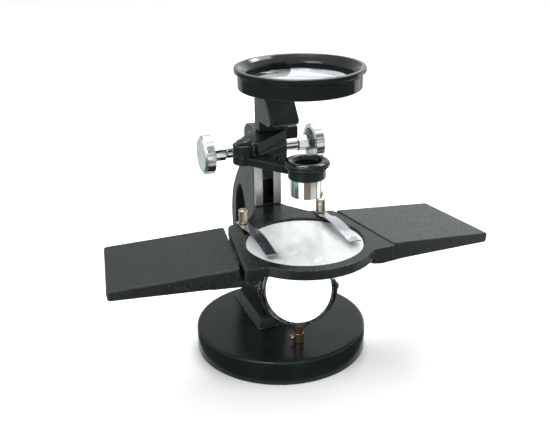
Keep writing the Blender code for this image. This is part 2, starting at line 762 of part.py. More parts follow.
def arm_pivot_screw():
    top = BOSS_TOP + GAP
    screw("arm_pivot_screw", blacked_steel("arm_pivot_screw_steel"), PIVOT_HEAD_R, (top, top + 2.2),
          PIVOT_SCREW_R, ARM_LOW + 0.2, PIVOT, origin=(*PIVOT, ARM_LOW))


def eyepiece():
    centre = (*EYE, 0.0)
    seat = RING_HIGH + GAP
    spigot = BARREL_BORE - GAP
    cup = [(EYE_HOLE, seat - 3.6), (spigot, seat - 3.6), (spigot, seat), (12.8, seat), (14.1, seat + 1.0),
           (14.7, seat + 2.5), (14.1, seat + 4.0), (12.5, seat + 4.8), (11.2, seat + 4.9), (9.6, seat + 4.3),
           (EYE_HOLE, seat + 2.5)]
    piece("eyepiece_cup", turned(cup, 28, centre), black_plastic("eyepiece_cup_plastic"), origin=centre)
    barrel = [(8.2, BARREL_LOW), (BARREL_R, BARREL_LOW), (BARREL_R, RING_HIGH), (BARREL_BORE, RING_HIGH),
              (BARREL_BORE, BARREL_LOW + 1.3), (8.2, BARREL_LOW + 1.3)]
    piece("eyepiece_barrel", turned(barrel, 28, centre), chrome("eyepiece_barrel_chrome"), origin=centre)
    lens = lens_outline(9.0, *EYE_LENS_EDGE, 1.5)
    piece("eyepiece_lens", turned(lens, 24, centre), clear_glass("eyepiece_lens_glass"), origin=centre)
    top = EYE_LENS_EDGE[1] + 0.8
    ring = [(7.9, top), (9.0, top), (9.0, top + 2), (7.9, top + 2)]
    piece("eyepiece_retainer", turned(ring, 24, centre), black_plastic("eyepiece_retainer_black"),
          origin=centre)


# --------------------------------------------------------------- magnifier

def magnifier_bracket():
    stem_front, stem_back = 9.4, CARRIAGE_BACK - 1.9
    top = CELL_LOW - GAP
    chin = (-6.5, 162.4)
    front = smooth((chin, (-10.7, 163.8), (-12.4, 167.0), (-8.6, 172.6), (-3.4, 179.5), (-0.2, 187.0),
                    (1.6, top)), 3)
    outline = [(stem_back, CARRIAGE_TOP + GAP), (stem_back, top), *front[::-1], (stem_front, 162.4),
               (stem_front, CARRIAGE_TOP + GAP)]
    body = piece("magnifier_bracket", prism(outline, -BRACKET_HALF, BRACKET_HALF, "X"),
                 black_paint("magnifier_bracket_enamel"))
    add(body, box((-TENON_HALF, TENON_FRONT, TENON_LOW), (TENON_HALF, TENON_BACK, CARRIAGE_TOP + 2)))
    for y in MAG_SCREW_YS.values():
        cut(body, hole(MAG_SCREW_R, MAG_SCREW_END - 1, TONGUE_Z, (0.0, y)))


def magnifier_cell():
    outline = [(CELL_BORE, CELL_LOW), (CELL_R - 0.6, CELL_LOW), (CELL_R, CELL_LOW + 0.6), (CELL_R, 203.4),
               (CELL_R - 0.5, 204.2), (38.4, 204.9), (LIP_R, 205.6), (LIP_R, 207.2), (39.3, CELL_TOP),
               (38.6, CELL_TOP), (35.4, 206.9), (32.5, 204.4), (CELL_OPENING, 203.2),
               (CELL_OPENING, CELL_SHOULDER), (CELL_BORE, CELL_SHOULDER)]
    body = piece("magnifier_cell", turned(outline, 48, (0.0, CELL_Y, 0.0)), black_plastic("cell_black"))
    add(body, box((-9.0, -3.0, CELL_LOW), (9.0, 19.5, TONGUE_Z)))
    for y in MAG_SCREW_YS.values():
        cut(body, hole(MAG_SCREW_R, CELL_LOW - 5, TONGUE_Z + 5, (0.0, y)))


def magnifier_glazing():
    centre = (0.0, CELL_Y, 0.0)
    lens = lens_outline(34.2, 197.9, 199.9, 3.1)
    piece("magnifier_lens", turned(lens, 40, centre), clear_glass("magnifier_lens_glass"))
    ring = [(31.0, CELL_LOW + 0.1), (34.2, CELL_LOW + 0.1), (34.2, 196.9), (31.0, 196.9)]
    piece("magnifier_retainer", turned(ring, 40, centre), black_plastic("magnifier_retainer_black"))


def magnifier_screws():
    for where, y in MAG_SCREW_YS.items():
        top = TONGUE_Z + GAP
        screw(f"magnifier_screw_{where}", steel(f"magnifier_screw_{where}_steel"), 3.1, (top, top + 2.2),
              MAG_SCREW_R, MAG_SCREW_END, (0.0, y))


# ------------------------------------------------------------------ mirror

def mirror_socket():
    bore, low, seat = SWIVEL_R + GAP, SWIVEL_LOW - 0.6, BASE_H + GAP
    outline = [(bore, low), (SOCKET_NECK_R, low), (SOCKET_NECK_R, seat), (SOCKET_R, seat),
               (SOCKET_R, SOCKET_TOP), (bore, SOCKET_TOP)]
    body = piece("mirror_socket", turned(outline, 16, (0.0, MIRROR_Y, 0.0)), brass("mirror_socket_brass"))
    spot = (MIRROR_Y, SET_SCREW_Z)
    cut(body, hole(SET_SCREW_R, -SOCKET_R - 2, -1.0, spot, "X"))
    screw("mirror_set_screw", steel("mirror_set_screw_steel"), 1.7, (-SOCKET_R - 0.4, -SOCKET_R - 2.3),
          SET_SCREW_R, -bore - 0.4, spot, "X")


def mirror_fork(holder):
    outline = arc((0.0, 0.0), FORK_OUT, 180, 360, 20) + [(FORK_OUT, 3.4), (FORK_IN, 3.4)]
    outline += arc((0.0, 0.0), FORK_IN, 360, 180, 20) + [(-FORK_IN, 3.4), (-FORK_OUT, 3.4)]
    body = piece("mirror_fork", prism(outline, -FORK_HALF, FORK_HALF, "Y"), black_paint("fork_enamel"),
                 parent=holder)
    cut(body, hole(TRUNNION_R, -FORK_OUT - 9, FORK_OUT + 9, axis="X"))
    cut(body, hole(SWIVEL_R, -FORK_OUT - 3, -FORK_IN + 3))
    flange_r = SOCKET_R - GAP
    low, seat, top = SWIVEL_LOW - MIRROR_Z, SOCKET_TOP + GAP - MIRROR_Z, -FORK_IN - 0.1
    pin = [(0.0, low), (SWIVEL_R, low), (SWIVEL_R, seat), (flange_r, seat), (flange_r, -FORK_OUT - GAP),
           (SWIVEL_R, -FORK_OUT - GAP), (SWIVEL_R, top), (0.0, top)]
    piece("mirror_pivot_pin", turned(pin, 16), brass("mirror_pin_brass"), parent=holder)


def mirror(holder):
    rim_in, rim_out = MIRROR_GLASS_R + GAP, MIRROR_FRAME_R
    web = (-0.5, 0.3)
    rim = (-3.2, 2.8)
    frame = [(0.0, web[0]), (rim_in, web[0]), (rim_in, rim[0]), (rim_out, rim[0]), (rim_out, rim[1]),
             (rim_in, rim[1]), (rim_in, web[1]), (0.0, web[1])]
    body = piece("mirror_frame", turned(frame, 36), black_paint("mirror_frame_enamel"), parent=holder)
    for side, sign in SIDES.items():
        cut(body, hole(TRUNNION_R, *sorted((sign * (rim_in + 0.05), sign * (rim_out + 6))), axis="X"))
        screw(f"mirror_screw_{side}", blacked_steel(f"mirror_screw_{side}_steel"), 2.2,
              (sign * (FORK_OUT + GAP), sign * (FORK_OUT + 1.5)), TRUNNION_R, sign * (rim_in + 0.3),
              (0.0, 0.0), "X", parent=holder)
    flat = [(0.0, 0.6), (MIRROR_GLASS_R, 0.6), (MIRROR_GLASS_R, 2.2), (0.0, 2.2)]
    piece("mirror_flat", turned(flat, 36), mirror_glass("mirror_flat_silver"), parent=holder)
    dish = [(0.0, -1.5), (8.0, -1.6), (15.0, -2.0), (MIRROR_GLASS_R, -2.8), (MIRROR_GLASS_R, -0.8),
            (0.0, -0.8)]
    piece("mirror_concave", turned(dish, 36), mirror_glass("mirror_concave_silver"), parent=holder)


def mirror_group():
    socket = pivot("mirror_swivel", (0.0, MIRROR_Y, MIRROR_Z), (0.0, 0.0, MIRROR_YAW))
    mirror_fork(socket)
    tilt = pivot("mirror_tilt", (0.0, 0.0, 0.0), (MIRROR_TILT, 0.0, 0.0))
    tilt.parent = socket
    mirror(tilt)


# ------------------------------------------------------------- stage clips

def clip_profile():
    """The spring strip from behind its post to its turned-up tip, as (run, height) along the middle."""
    line = [(4.6, 0.4), (-6.0, 0.4)] + smooth(((-9.0, 0.6), (-20.0, 3.0), (-36.0, 2.9), (-52.0, 0.7)), 3)
    line += [(-54.5, 0.6), (-57.5, 1.9)]
    low, high = [], []
    for i, (run, height) in enumerate(line):
        before, after = Vector(line[max(i - 1, 0)]), Vector(line[min(i + 1, len(line) - 1)])
        along = (after - before).normalized()
        across = Vector((along.y, -along.x)) * (CLIP_THICK / 2)
        low.append((run - across.x, height - across.y))
        high.append((run + across.x, height + across.y))
    return high + low[::-1]


def stage_clips():
    for side, sign in SIDES.items():
        foot = (sign * CLIP_X, CLIP_Y, STAGE_TOP + GAP)
        holder = pivot(f"clip_{side}_pivot", foot)
        strip = piece(f"clip_strip_{side}", prism(clip_profile(), -CLIP_HALF, CLIP_HALF, "X"),
                      steel(f"clip_strip_{side}_steel"), parent=holder)
        cut(strip, hole(CLIP_PIN_R, -2.0, 3.0))
        low, high, seat = CLIP_PIN_LOW - foot[2], POST_TOP - foot[2], CLIP_THICK + GAP
        post = [(0.0, low), (CLIP_PIN_R, low), (CLIP_PIN_R, seat), (POST_R, seat), (POST_R, high - 0.6),
                (POST_R - 0.6, high), (0.0, high)]
        piece(f"clip_post_{side}", turned(post, 16), brass(f"clip_post_{side}_brass"), parent=holder)


def main():
    for obj in list(bpy.data.objects):
        bpy.data.objects.remove(obj, do_unlink=True)
    base_casting()
    base_bolts()
    limb_casting()
    limb_side_screw()
    slideways()
    pinion_bushes()
    stage_plate()
    stage_screws()
    stage_glass()
    hand_rests()
    rest_screws()
    carriage_block()
    rack_screws()
    grub_screw()
    focus_rack()
    pinion_shaft()
    knobs()
    knob_collars()
    lens_arm()
    arm_pivot_screw()
    eyepiece()
    magnifier_bracket()
    magnifier_cell()
    magnifier_glazing()
    magnifier_screws()
    mirror_socket()
    mirror_group()
    stage_clips()


main()
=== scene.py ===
import json
import math

import bmesh
import bpy
from mathutils import Matrix, Vector


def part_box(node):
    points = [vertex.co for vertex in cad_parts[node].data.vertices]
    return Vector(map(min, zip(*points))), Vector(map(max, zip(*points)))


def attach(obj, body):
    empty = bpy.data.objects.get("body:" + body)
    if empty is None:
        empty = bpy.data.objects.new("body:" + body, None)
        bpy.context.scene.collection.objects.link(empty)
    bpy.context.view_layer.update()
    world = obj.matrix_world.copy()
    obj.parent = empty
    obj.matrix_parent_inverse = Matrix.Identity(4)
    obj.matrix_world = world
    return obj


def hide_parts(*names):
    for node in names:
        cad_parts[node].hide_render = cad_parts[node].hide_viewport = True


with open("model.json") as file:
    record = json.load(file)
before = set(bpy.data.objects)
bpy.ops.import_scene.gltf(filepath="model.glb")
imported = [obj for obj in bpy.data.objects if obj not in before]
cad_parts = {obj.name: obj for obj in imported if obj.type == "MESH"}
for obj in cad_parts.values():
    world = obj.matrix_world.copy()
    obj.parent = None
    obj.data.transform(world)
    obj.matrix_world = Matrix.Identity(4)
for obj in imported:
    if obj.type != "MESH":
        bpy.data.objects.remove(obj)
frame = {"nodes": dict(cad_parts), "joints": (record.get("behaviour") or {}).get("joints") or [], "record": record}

MM = 0.001
GAP = 0.3                      # clearance between touching pieces, in millimetres like all sizes below

# Edge roundings
CAST_EDGE = 1.0
PAINT_EDGE = 0.6
STAGE_EDGE = 0.5
SHARP_EDGE = 0.3

SMOOTH_BELOW = 35.0            # degrees between faces that shade as one surface
PAST = 5.0                     # how far most cutters reach past a face

# Bolt holes in the base
BOLT_SHOULDER = 1.7            # bolt head's radius less its hole's
BOLT_POCKET_TOP = 7.2

# Screws, each by the radii of its head and its shank
SIDE_SCREW = (2.3, 1.2)
PIVOT_SCREW = (5.0, 2.5)
CELL_SCREW = (3.1, 1.6)
SET_SCREW = (1.7, 1.0)
MIRROR_SCREW = (2.2, 1.2)
SCREW_HEAD_H = 2.2

# Limb and foot
LIMB_BACK = ((39.5, 154.0), (44.2, 149.5), (45.3, 142.0), (50.0, 131.0), (57.0, 119.0),
             (66.5, 108.0), (75.0, 95.5), (79.2, 83.0), (80.0, 70.0), (77.5, 56.0),
             (70.5, 41.0), (61.5, 28.5), (53.0, 19.0))
LIMB_LOWER_FRONT = ((12.0, 19.0), (12.3, 34.0), (15.0, 52.0), (20.0, 68.0))
LIMB_FRONT = 24.5
FLANGE_FOOT = 77.5             # where the limb's front face starts, below the stage's flange
SLOT_AT = (57.0, 69.5)
SLOT_HALF = (12.5, 33.5)
FOOT_HALF = 20.5
FOOT_FRONT = -10.5
FOOT_BACK = 55.0
FOOT_TAIL = (12.0, 8.0)        # half width of the foot's back end, and length of its cut corners
FOOT_H = 6.2
FOOT_SLOPE = 3.5
CHANNEL_HALF = 6.8
CHANNEL_BACK = 30.6
CHANNEL_CLEAR = 0.4            # floor of the channel above the stage
SIDE_SCREW_AT = (29.5, 148.5)
SIDE_SCREW_BORE = 1.5

# Stage
STAGE_Y = -45.6
STAGE_R = 45.5
STAGE_ARC = (-139.5, -40.5)    # degrees of the round front edge
STAGE_DEEP = 6.5
LUG_DEEP = 9.0
STAGE_FRONT = -74.5
STAGE_SIDE = ((39.5, -7.5, 2.0), (37.0, -3.5, 2.0), (27.0, -0.5, 8.0), (21.5, 2.5, 8.0),
              (11.0, 19.0, 2.0), (9.75, 24.2, 0))       # (x, y, corner radius) from lug to limb
LUG_INNER = ((33.0, -9.0, 2.0), (36.6, -40.0, 0))
FLANGE_Y = (13.0, 24.1)
OPENING_R = 35.5
SEAT_R = 38.1
SEAT_DEEP = 4.0
CLIP_BORE = 1.8

# Hand rests, in the frame of each rest's inner top edge
REST_AT = (46.0, -36.5, 96.8)
REST_LONG = 80.0
REST_HALF = 34.0
REST_DROOP = {"left": math.radians(4.6), "right": math.radians(7.2)}
REST_DEEP = 12.0
REST_TIP = 6.5
REST_WALL = 2.2
REST_ROOF = 2.5
TONGUE = (-12.8, -8.7)
TONGUE_ENDS = (-13.0, 18.0)
TONGUE_HALF = 12.0
REST_SCREW = (-5.7, -20.9)
REST_SLOT = 2.4

# Carriage, arm and eyepiece
PIVOT_BORE = 2.8
PIVOT_SEAT_R = 5.3
TENON_POCKET = 139.5
RACK_SCREW_SEAT = 13.0
GRUB_BORE = 1.9
RACK_SCREW_POCKET = 2.4
BOSS_R = 7.8
BOSS_LOW = 144.3
BOSS_TOP = 152.0
CARRIAGE_TOP = 154.6
LUG_Y = (11.0, 19.0)
LUG_Z = (147.8, 156.4)
TENON_HALF = 6.0
TENON = (11.0, 18.0)
GRUB_AT = (14.5, 152.0)
RACK_SCREW_ZS = (131.2, 136.2)
ARM_WIDE = 9.0
RING_R = 12.0
BARREL_R = 10.5
BARREL_BORE = 9.3
EYE_HOLE = 7.85
EYE_R = 14.7
EYE_SEAT = 3.6                 # height of the cup's spigot
EYE_BULGE = ((12.8, 0.0), (14.1, 1.0), (EYE_R, 2.5), (14.1, 4.0), (12.5, 4.8), (11.2, 4.9), (9.6, 4.3),
             (EYE_HOLE, 2.5))  # (radius, height) over the spigot
EYE_LENS = (9.0, 1.5)          # radius and sag of each face
BARREL_MOUTH = 8.2
BARREL_LEDGE = 1.3

# Rack, pinion and knobs
PINION_ROOM_R = 7.6
SHAFT_R = 2.6
BUSH_R = 4.3
KNOB_R = 13.65
KNOB_LOBES = 18
KNOB_FLUTE = 0.28
KNOB_CUP = (5.4, 10.6, 10.4)   # hub, mouth and wall radii of the hollow behind each knob
KNOB_CUP_DEEP = 4.2
KNOB_BORE_END = 41.4
CROWN_R = 12.2
COLLAR_FLATS = 9.6

# Magnifier
CELL_R = 37.8
LIP_R = 39.9
CELL_OPENING = 32.0
CELL_BORE = 34.5
CELL_STEP = 203.7              # heights of the cell's outer step, lip, funnel and lens seat
LIP_LOW = 205.4
FUNNEL_LOW = 203.2
LENS_SEAT = 200.3
LENS_R = 34.2
LENS_SAG = 3.1
RETAINER_IN = {"eyepiece": 7.9, "magnifier": 31.0}
BRACKET_CHIN = (9.4, 162.4)    # where the foot meets the overhanging chin
BRACKET_FRONT = ((-6.5, 162.4), (-10.7, 163.8), (-12.4, 167.0), (-8.6, 172.6), (-3.4, 179.5), (-0.2, 187.0),
                 (1.6, 195.05))

# Mirror
MIRROR_TILT = math.radians(70.0)
MIRROR_GLASS_R = 22.6
MIRROR_FRAME_R = 23.9
FRAME_Z = (-3.2, 2.8)          # along the mirror's own axis: frame, its web and the flat glass
WEB_Z = (-0.5, 0.3)
FLAT_Z = (0.6, 2.2)
DISH_Z = (-2.8, -1.5, -0.8)    # rim, middle and back of the concave glass
FORK_IN = 24.6
FORK_OUT = 26.1
FORK_HALF = 4.0
FORK_EAR = 3.4                 # height of the fork's ends over the tilt axis
STEM_R = 1.9
STEM_BORE = 2.2
NECK_R = 2.9
COLLAR_R = (3.4, 3.7)          # of the stem and of the socket
MIRROR_PIN_BORE = 1.5
SET_SCREW_BORE = 1.3

# Stage clips
CLIP_ROOT = ((4.6, 0.4), (-6.0, 0.4))        # (run, height) of the strip's middle line
CLIP_BOW = ((-9.0, 0.6), (-20.0, 3.0), (-36.0, 2.9), (-52.0, 0.7))
CLIP_TIP = ((-54.5, 0.6), (-56.0, 1.1), (-57.5, 1.9))
CLIP_HALF = 3.75
CLIP_THICK = 0.8
POST_R = 3.2
POST_SHANK_R = 1.5

# Camera, from the fit of the viewing angle
CAMERA_AT = (-0.18743, -0.50577, 0.31259)
CAMERA_YAW = math.radians(20.0)
CAMERA_PITCH = math.radians(22.03)
CAMERA_ROLL = math.radians(-0.82)
CAMERA_LENS = 55.39

# Studio: level of the room's light, then (direction, outer angle, inner angle, change) for each lobe
ROOM_LEVEL = 0.85
ROOM_LOBES = (((0.016, -0.95, 0.31), 22.0, 10.0, 0.6), ((-0.1, 0.85, 0.45), 45.0, 20.0, -0.28),
              ((0.6, 0.8, 0.15), 28.0, 8.0, 0.5), ((0.0, 0.0, 1.0), 50.0, 15.0, 0.15))

# Cards on the floor: (name, angles, radii, height, shade); lights: (name, place, aim, size, watts, glossy)
FLOOR_CARDS = (("dark_floor", (-130, 110), (64, 1300), 0.5, (0.05, 0.055, 0.055)),
               ("grey_floor", (135, 229), (64, 1300), 0.5, (0.34, 0.36, 0.36)),
               ("teal_sheet", (-100, -58), (230, 430), 1.0, (0.10, 0.30, 0.24)),
               ("white_sheet", (-54, -18), (230, 430), 1.0, (0.9, 0.9, 0.9)),
               ("brown_sheet", (-12, 20), (230, 430), 1.0, (0.13, 0.09, 0.06)),
               ("green_sheet", (24, 62), (230, 430), 1.0, (0.38, 0.42, 0.36)),
               ("right_sheet", (68, 100), (230, 430), 1.0, (0.75, 0.74, 0.72)))
UPPER_CARD = ((130, -760, 380), (1000, -750, 1000))
SOFTBOXES = (("key", (-0.7, -0.5, 1.1), (0.0, 0.0, 0.1), (0.7, 0.7), 9.0, True),
             ("top", (0.45, 0.58, 1.17), (0.0, 0.0, 0.1), (0.65, 0.45), 9.0, True),
             ("left_glint", (0.85, 0.6, 1.15), (0.0, 0.0, 0.2), (0.22, 0.22), 2.0, True),
             ("back_glint", (0.09, 0.45, 1.5), (0.0, 0.0, 0.2), (0.22, 0.22), 4.0, True),
             ("wash", (0.0, 0.3, 3.0), (0.0, 0.3, 0.0), (4.0, 4.0), 12.0, False))

PAINT_IOR = 1.36
WORN = (0.20, 0.195, 0.19)     # metal that shows where paint is rubbed off

SIDES = {"left": -1, "right": 1}

owner = {node: body for body, nodes in frame["record"]["behaviour"]["bodies"].items() for node in nodes}
joints = {joint["name"]: joint for joint in frame["joints"]}
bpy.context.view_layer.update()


def extent(node):
    """The lowest and highest corner of a CAD node, in millimetres."""
    low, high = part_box(node)
    return Vector(low) / MM, Vector(high) / MM


def joint_at(name):
    """The point on a joint's axis, in millimetres."""
    return Vector(joints[name]["pos_m"]) / MM


# ------------------------------------------------------------------ outlines

def arc(centre, radius, start, end, steps):
    """Points on a circle from one angle to another, in degrees."""
    points = []
    for step in range(steps + 1):
        angle = math.radians(start + (end - start) * step / steps)
        points.append((centre[0] + radius * math.cos(angle), centre[1] + radius * math.sin(angle)))
    return points


def smooth(knots, per_span):
    """A Catmull-Rom curve through the knots."""
    knots = [Vector(knot) for knot in knots]
    ends = [2 * knots[0] - knots[1], *knots, 2 * knots[-1] - knots[-2]]
    points = []
    for a, b, c, d in zip(ends, ends[1:], ends[2:], ends[3:]):
        for step in range(per_span):
            t = step / per_span
            spot = b + (c - a) * (t / 2) + (2 * a - 5 * b + 4 * c - d) * (t * t / 2)
            points.append(tuple(spot + (3 * b - a - 3 * c + d) * (t ** 3 / 2)))
    points.append(tuple(knots[-1]))
    return points


def filleted(corners, steps):
    """A closed outline whose (a, b, radius) corners are rounded to their radius."""
    points = []
    for number, (a, b, radius) in enumerate(corners):
        here = Vector((a, b))
        before = Vector(corners[number - 1][:2])
        after = Vector(corners[(number + 1) % len(corners)][:2])
        if radius <= 0:
            points.append((a, b))
            continue
        back, on = (before - here).normalized(), (after - here).normalized()
        half = back.angle(on) / 2
        run = min(radius / math.tan(half), 0.45 * (before - here).length, 0.45 * (after - here).length)
        radius = run * math.tan(half)
        centre = here + (back + on).normalized() * (radius / math.sin(half))
        start, end = here + back * run - centre, here + on * run - centre
        sweep = start.angle_signed(end)
        for step in range(steps + 1):
            turn = Matrix.Rotation(-sweep * step / steps, 2)
            points.append(tuple(centre + turn @ start))
    return points


# -------------------------------------------------------------------- meshes

def axis_turn(axis):
    """The turn that lays the Z axis along another."""
    turns = {
        "Z": Matrix(),
        "X": Matrix.Rotation(math.pi / 2, 4, "Y"),
        "Y": Matrix.Rotation(-math.pi / 2, 4, "X"),
    }
    return turns[axis]


def turned(outline, steps, at=(0.0, 0.0, 0.0), axis="Z"):
    """A closed (radius, height) outline turned about an axis through a point."""
    on_axis = 1e-6
    mesh = bmesh.new()
    rings = []
    for radius, height in outline:
        count = 1 if radius < on_axis else steps
        ring = []
        for step in range(count):
            angle = 2 * math.pi * (step + 0.5) / steps
            ring.append(mesh.verts.new((radius * math.cos(angle), radius * math.sin(angle), height)))
        rings.append(ring)
    for number, ring in enumerate(rings):
        after = rings[(number + 1) % len(rings)]
        if len(ring) == len(after) == 1:
            continue
        flat = outline[number][1] == outline[(number + 1) % len(outline)][1]
        if flat and 1 in (len(ring), len(after)):
            mesh.faces.new(max(ring, after, key=len))
            continue
        for step in range(steps):
            near = (step + 1) % steps
            corners = (ring[step % len(ring)], ring[near % len(ring)], after[near % len(after)],
                       after[step % len(after)])
            mesh.faces.new(list(dict.fromkeys(corners)))
    loose = [vert for vert in mesh.verts if not vert.link_faces]
    bmesh.ops.delete(mesh, geom=loose, context="VERTS")
    mesh.transform(Matrix.Translation(at) @ axis_turn(axis))
    return mesh


def centred(at, axis):
    """The point with the two given coordinates, at zero along the axis."""
    return {"Z": (at[0], at[1], 0.0), "X": (0.0, at[0], at[1]), "Y": (at[0], 0.0, at[1])}[axis]


def rod(radius, low, high, at=(0.0, 0.0), axis="Z", steps=64):
    """A solid cylinder between two heights along an axis."""
    outline = [(0.0, low), (radius, low), (radius, high), (0.0, high)]
    return turned(outline, steps, centred(at, axis), axis)


def tube(inner, outer, low, high, at, axis="Z", edge=SHARP_EDGE, steps=96):
    """A ring with rounded rims between two heights along an axis."""
    outline = filleted([(inner, low, edge), (outer, low, edge), (outer, high, edge), (inner, high, edge)], 4)
    return turned(outline, steps, centred(at, axis), axis)


def prism(outline, low, high, axis="Z"):
    """A flat outline pulled along an axis: (x, y) for Z, (y, z) for X, (x, z) for Y."""
    place = {
        "Z": lambda a, b, h: (a, b, h),
        "X": lambda a, b, h: (h, a, b),
        "Y": lambda a, b, h: (a, h, b),
    }[axis]
    mesh = bmesh.new()
    bottom = [mesh.verts.new(place(a, b, low)) for a, b in outline]
    top = [mesh.verts.new(place(a, b, high)) for a, b in outline]
    mesh.faces.new(bottom[::-1])
    mesh.faces.new(top)
    count = len(outline)
    for i in range(count):
        mesh.faces.new((bottom[i], bottom[(i + 1) % count], top[(i + 1) % count], top[i]))
    return mesh


def block(low, high):
    """A box between two corners."""
    corners = [(low[0], low[1]), (high[0], low[1]), (high[0], high[1]), (low[0], high[1])]
    return prism(corners, low[2], high[2])


def hull(points):
    """The convex body through a handful of corner points."""
    mesh = bmesh.new()
    for point in points:
        mesh.verts.new(point)
    made = bmesh.ops.convex_hull(mesh, input=mesh.verts)
    spare = [v for v in made["geom_interior"] + made["geom_unused"] if isinstance(v, bmesh.types.BMVert)]
    bmesh.ops.delete(mesh, geom=spare, context="VERTS")
    bmesh.ops.dissolve_limit(mesh, angle_limit=math.radians(1), verts=mesh.verts, edges=mesh.edges)
    return mesh


# ------------------------------------------------------------------- objects

def raw(mesh, name="tool"):
    """An object in metres from a bmesh in millimetres."""
    bmesh.ops.recalc_face_normals(mesh, faces=mesh.faces)
    if mesh.calc_volume(signed=True) < 0:
        bmesh.ops.reverse_faces(mesh, faces=mesh.faces)
    mesh.transform(Matrix.Scale(MM, 4))
    data = bpy.data.meshes.new(name)
    mesh.to_mesh(data)
    mesh.free()
    obj = bpy.data.objects.new(name, data)
    bpy.context.scene.collection.objects.link(obj)
    return obj


def settle(obj):
    """Replaces the object's mesh by its modifiers' result."""
    graph = bpy.context.evaluated_depsgraph_get()
    data = bpy.data.meshes.new_from_object(obj.evaluated_get(graph))
    obj.modifiers.clear()
    obj.data = data


def rounded(obj, width, segments=3, limit=30.0):
    """Rounds every edge sharper than the limit."""
    step = obj.modifiers.new("round", "BEVEL")
    step.width = width * MM
    step.segments = segments
    step.limit_method = "ANGLE"
    step.angle_limit = math.radians(limit)
    step.miter_outer = "MITER_ARC"
    settle(obj)
    return obj


def shaped(obj, operation, meshes):
    """Joins or cuts an object with each mesh in turn."""
    for mesh in meshes:
        tool = mesh if isinstance(mesh, bpy.types.Object) else raw(mesh)
        step = obj.modifiers.new("shape", "BOOLEAN")
        step.operation = operation
        step.solver = "EXACT"
        step.object = tool
        settle(obj)
        bpy.data.objects.remove(tool)
    return obj


def cut(obj, *meshes):
    return shaped(obj, "DIFFERENCE", meshes)


def add(obj, *meshes):
    return shaped(obj, "UNION", meshes)


def show(node, obj, finish):
    """Makes an object the look of a CAD node: it rides on the node's body and wears the finish."""
    if isinstance(obj, bmesh.types.BMesh):
        obj = raw(obj)
    obj.name = f"{node}_fine"
    obj.data.materials.clear()
    obj.data.materials.append(finish)
    obj.data.shade_smooth()
    obj.data.set_sharp_from_angle(angle=math.radians(SMOOTH_BELOW))
    even = obj.modifiers.new("even", "WEIGHTED_NORMAL")
    even.keep_sharp = True
    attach(obj, owner[node])
    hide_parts(node)
    return obj


def keep(node, finish):
    """Shows a CAD node as it is, with a procedural finish."""
    obj = frame["nodes"][node]
    obj.data.materials.clear()
    obj.data.materials.append(finish)


def slotted(node, finish, radii, head, shank, at, axis, slot_turn, place=Matrix()):
    """A screw with a domed, slotted head; head is (meeting plane, far end), and shank its other end."""
    head_r, shank_r = radii
    meet, end = head
    away = math.copysign(1.0, end - meet)
    crown = 0.35 * (end - meet)
    dome = []
    for degrees in range(0, 90, 15):
        angle = math.radians(degrees)
        dome.append((head_r * math.cos(angle), end - crown * (1 - math.sin(angle))))
    outline = [(0.0, shank), (shank_r, shank), (shank_r, meet), (head_r, meet), *dome, (0.0, end)]
    body = turned(outline, 40, centred(at, axis), axis)
    half_slot = 0.13 * head_r + 0.1
    floor, above = sorted((end - 0.55 * (end - meet), end + away))
    slot = block((-head_r - 1, -half_slot, floor), (head_r + 1, half_slot, above))
    turn = axis_turn(axis) @ Matrix.Rotation(slot_turn, 4, "Z")
    slot.transform(Matrix.Translation(centred(at, axis)) @ turn)
    body.transform(place)
    slot.transform(place)
    return show(node, cut(raw(body), slot), finish)


# ----------------------------------------------------------------- materials

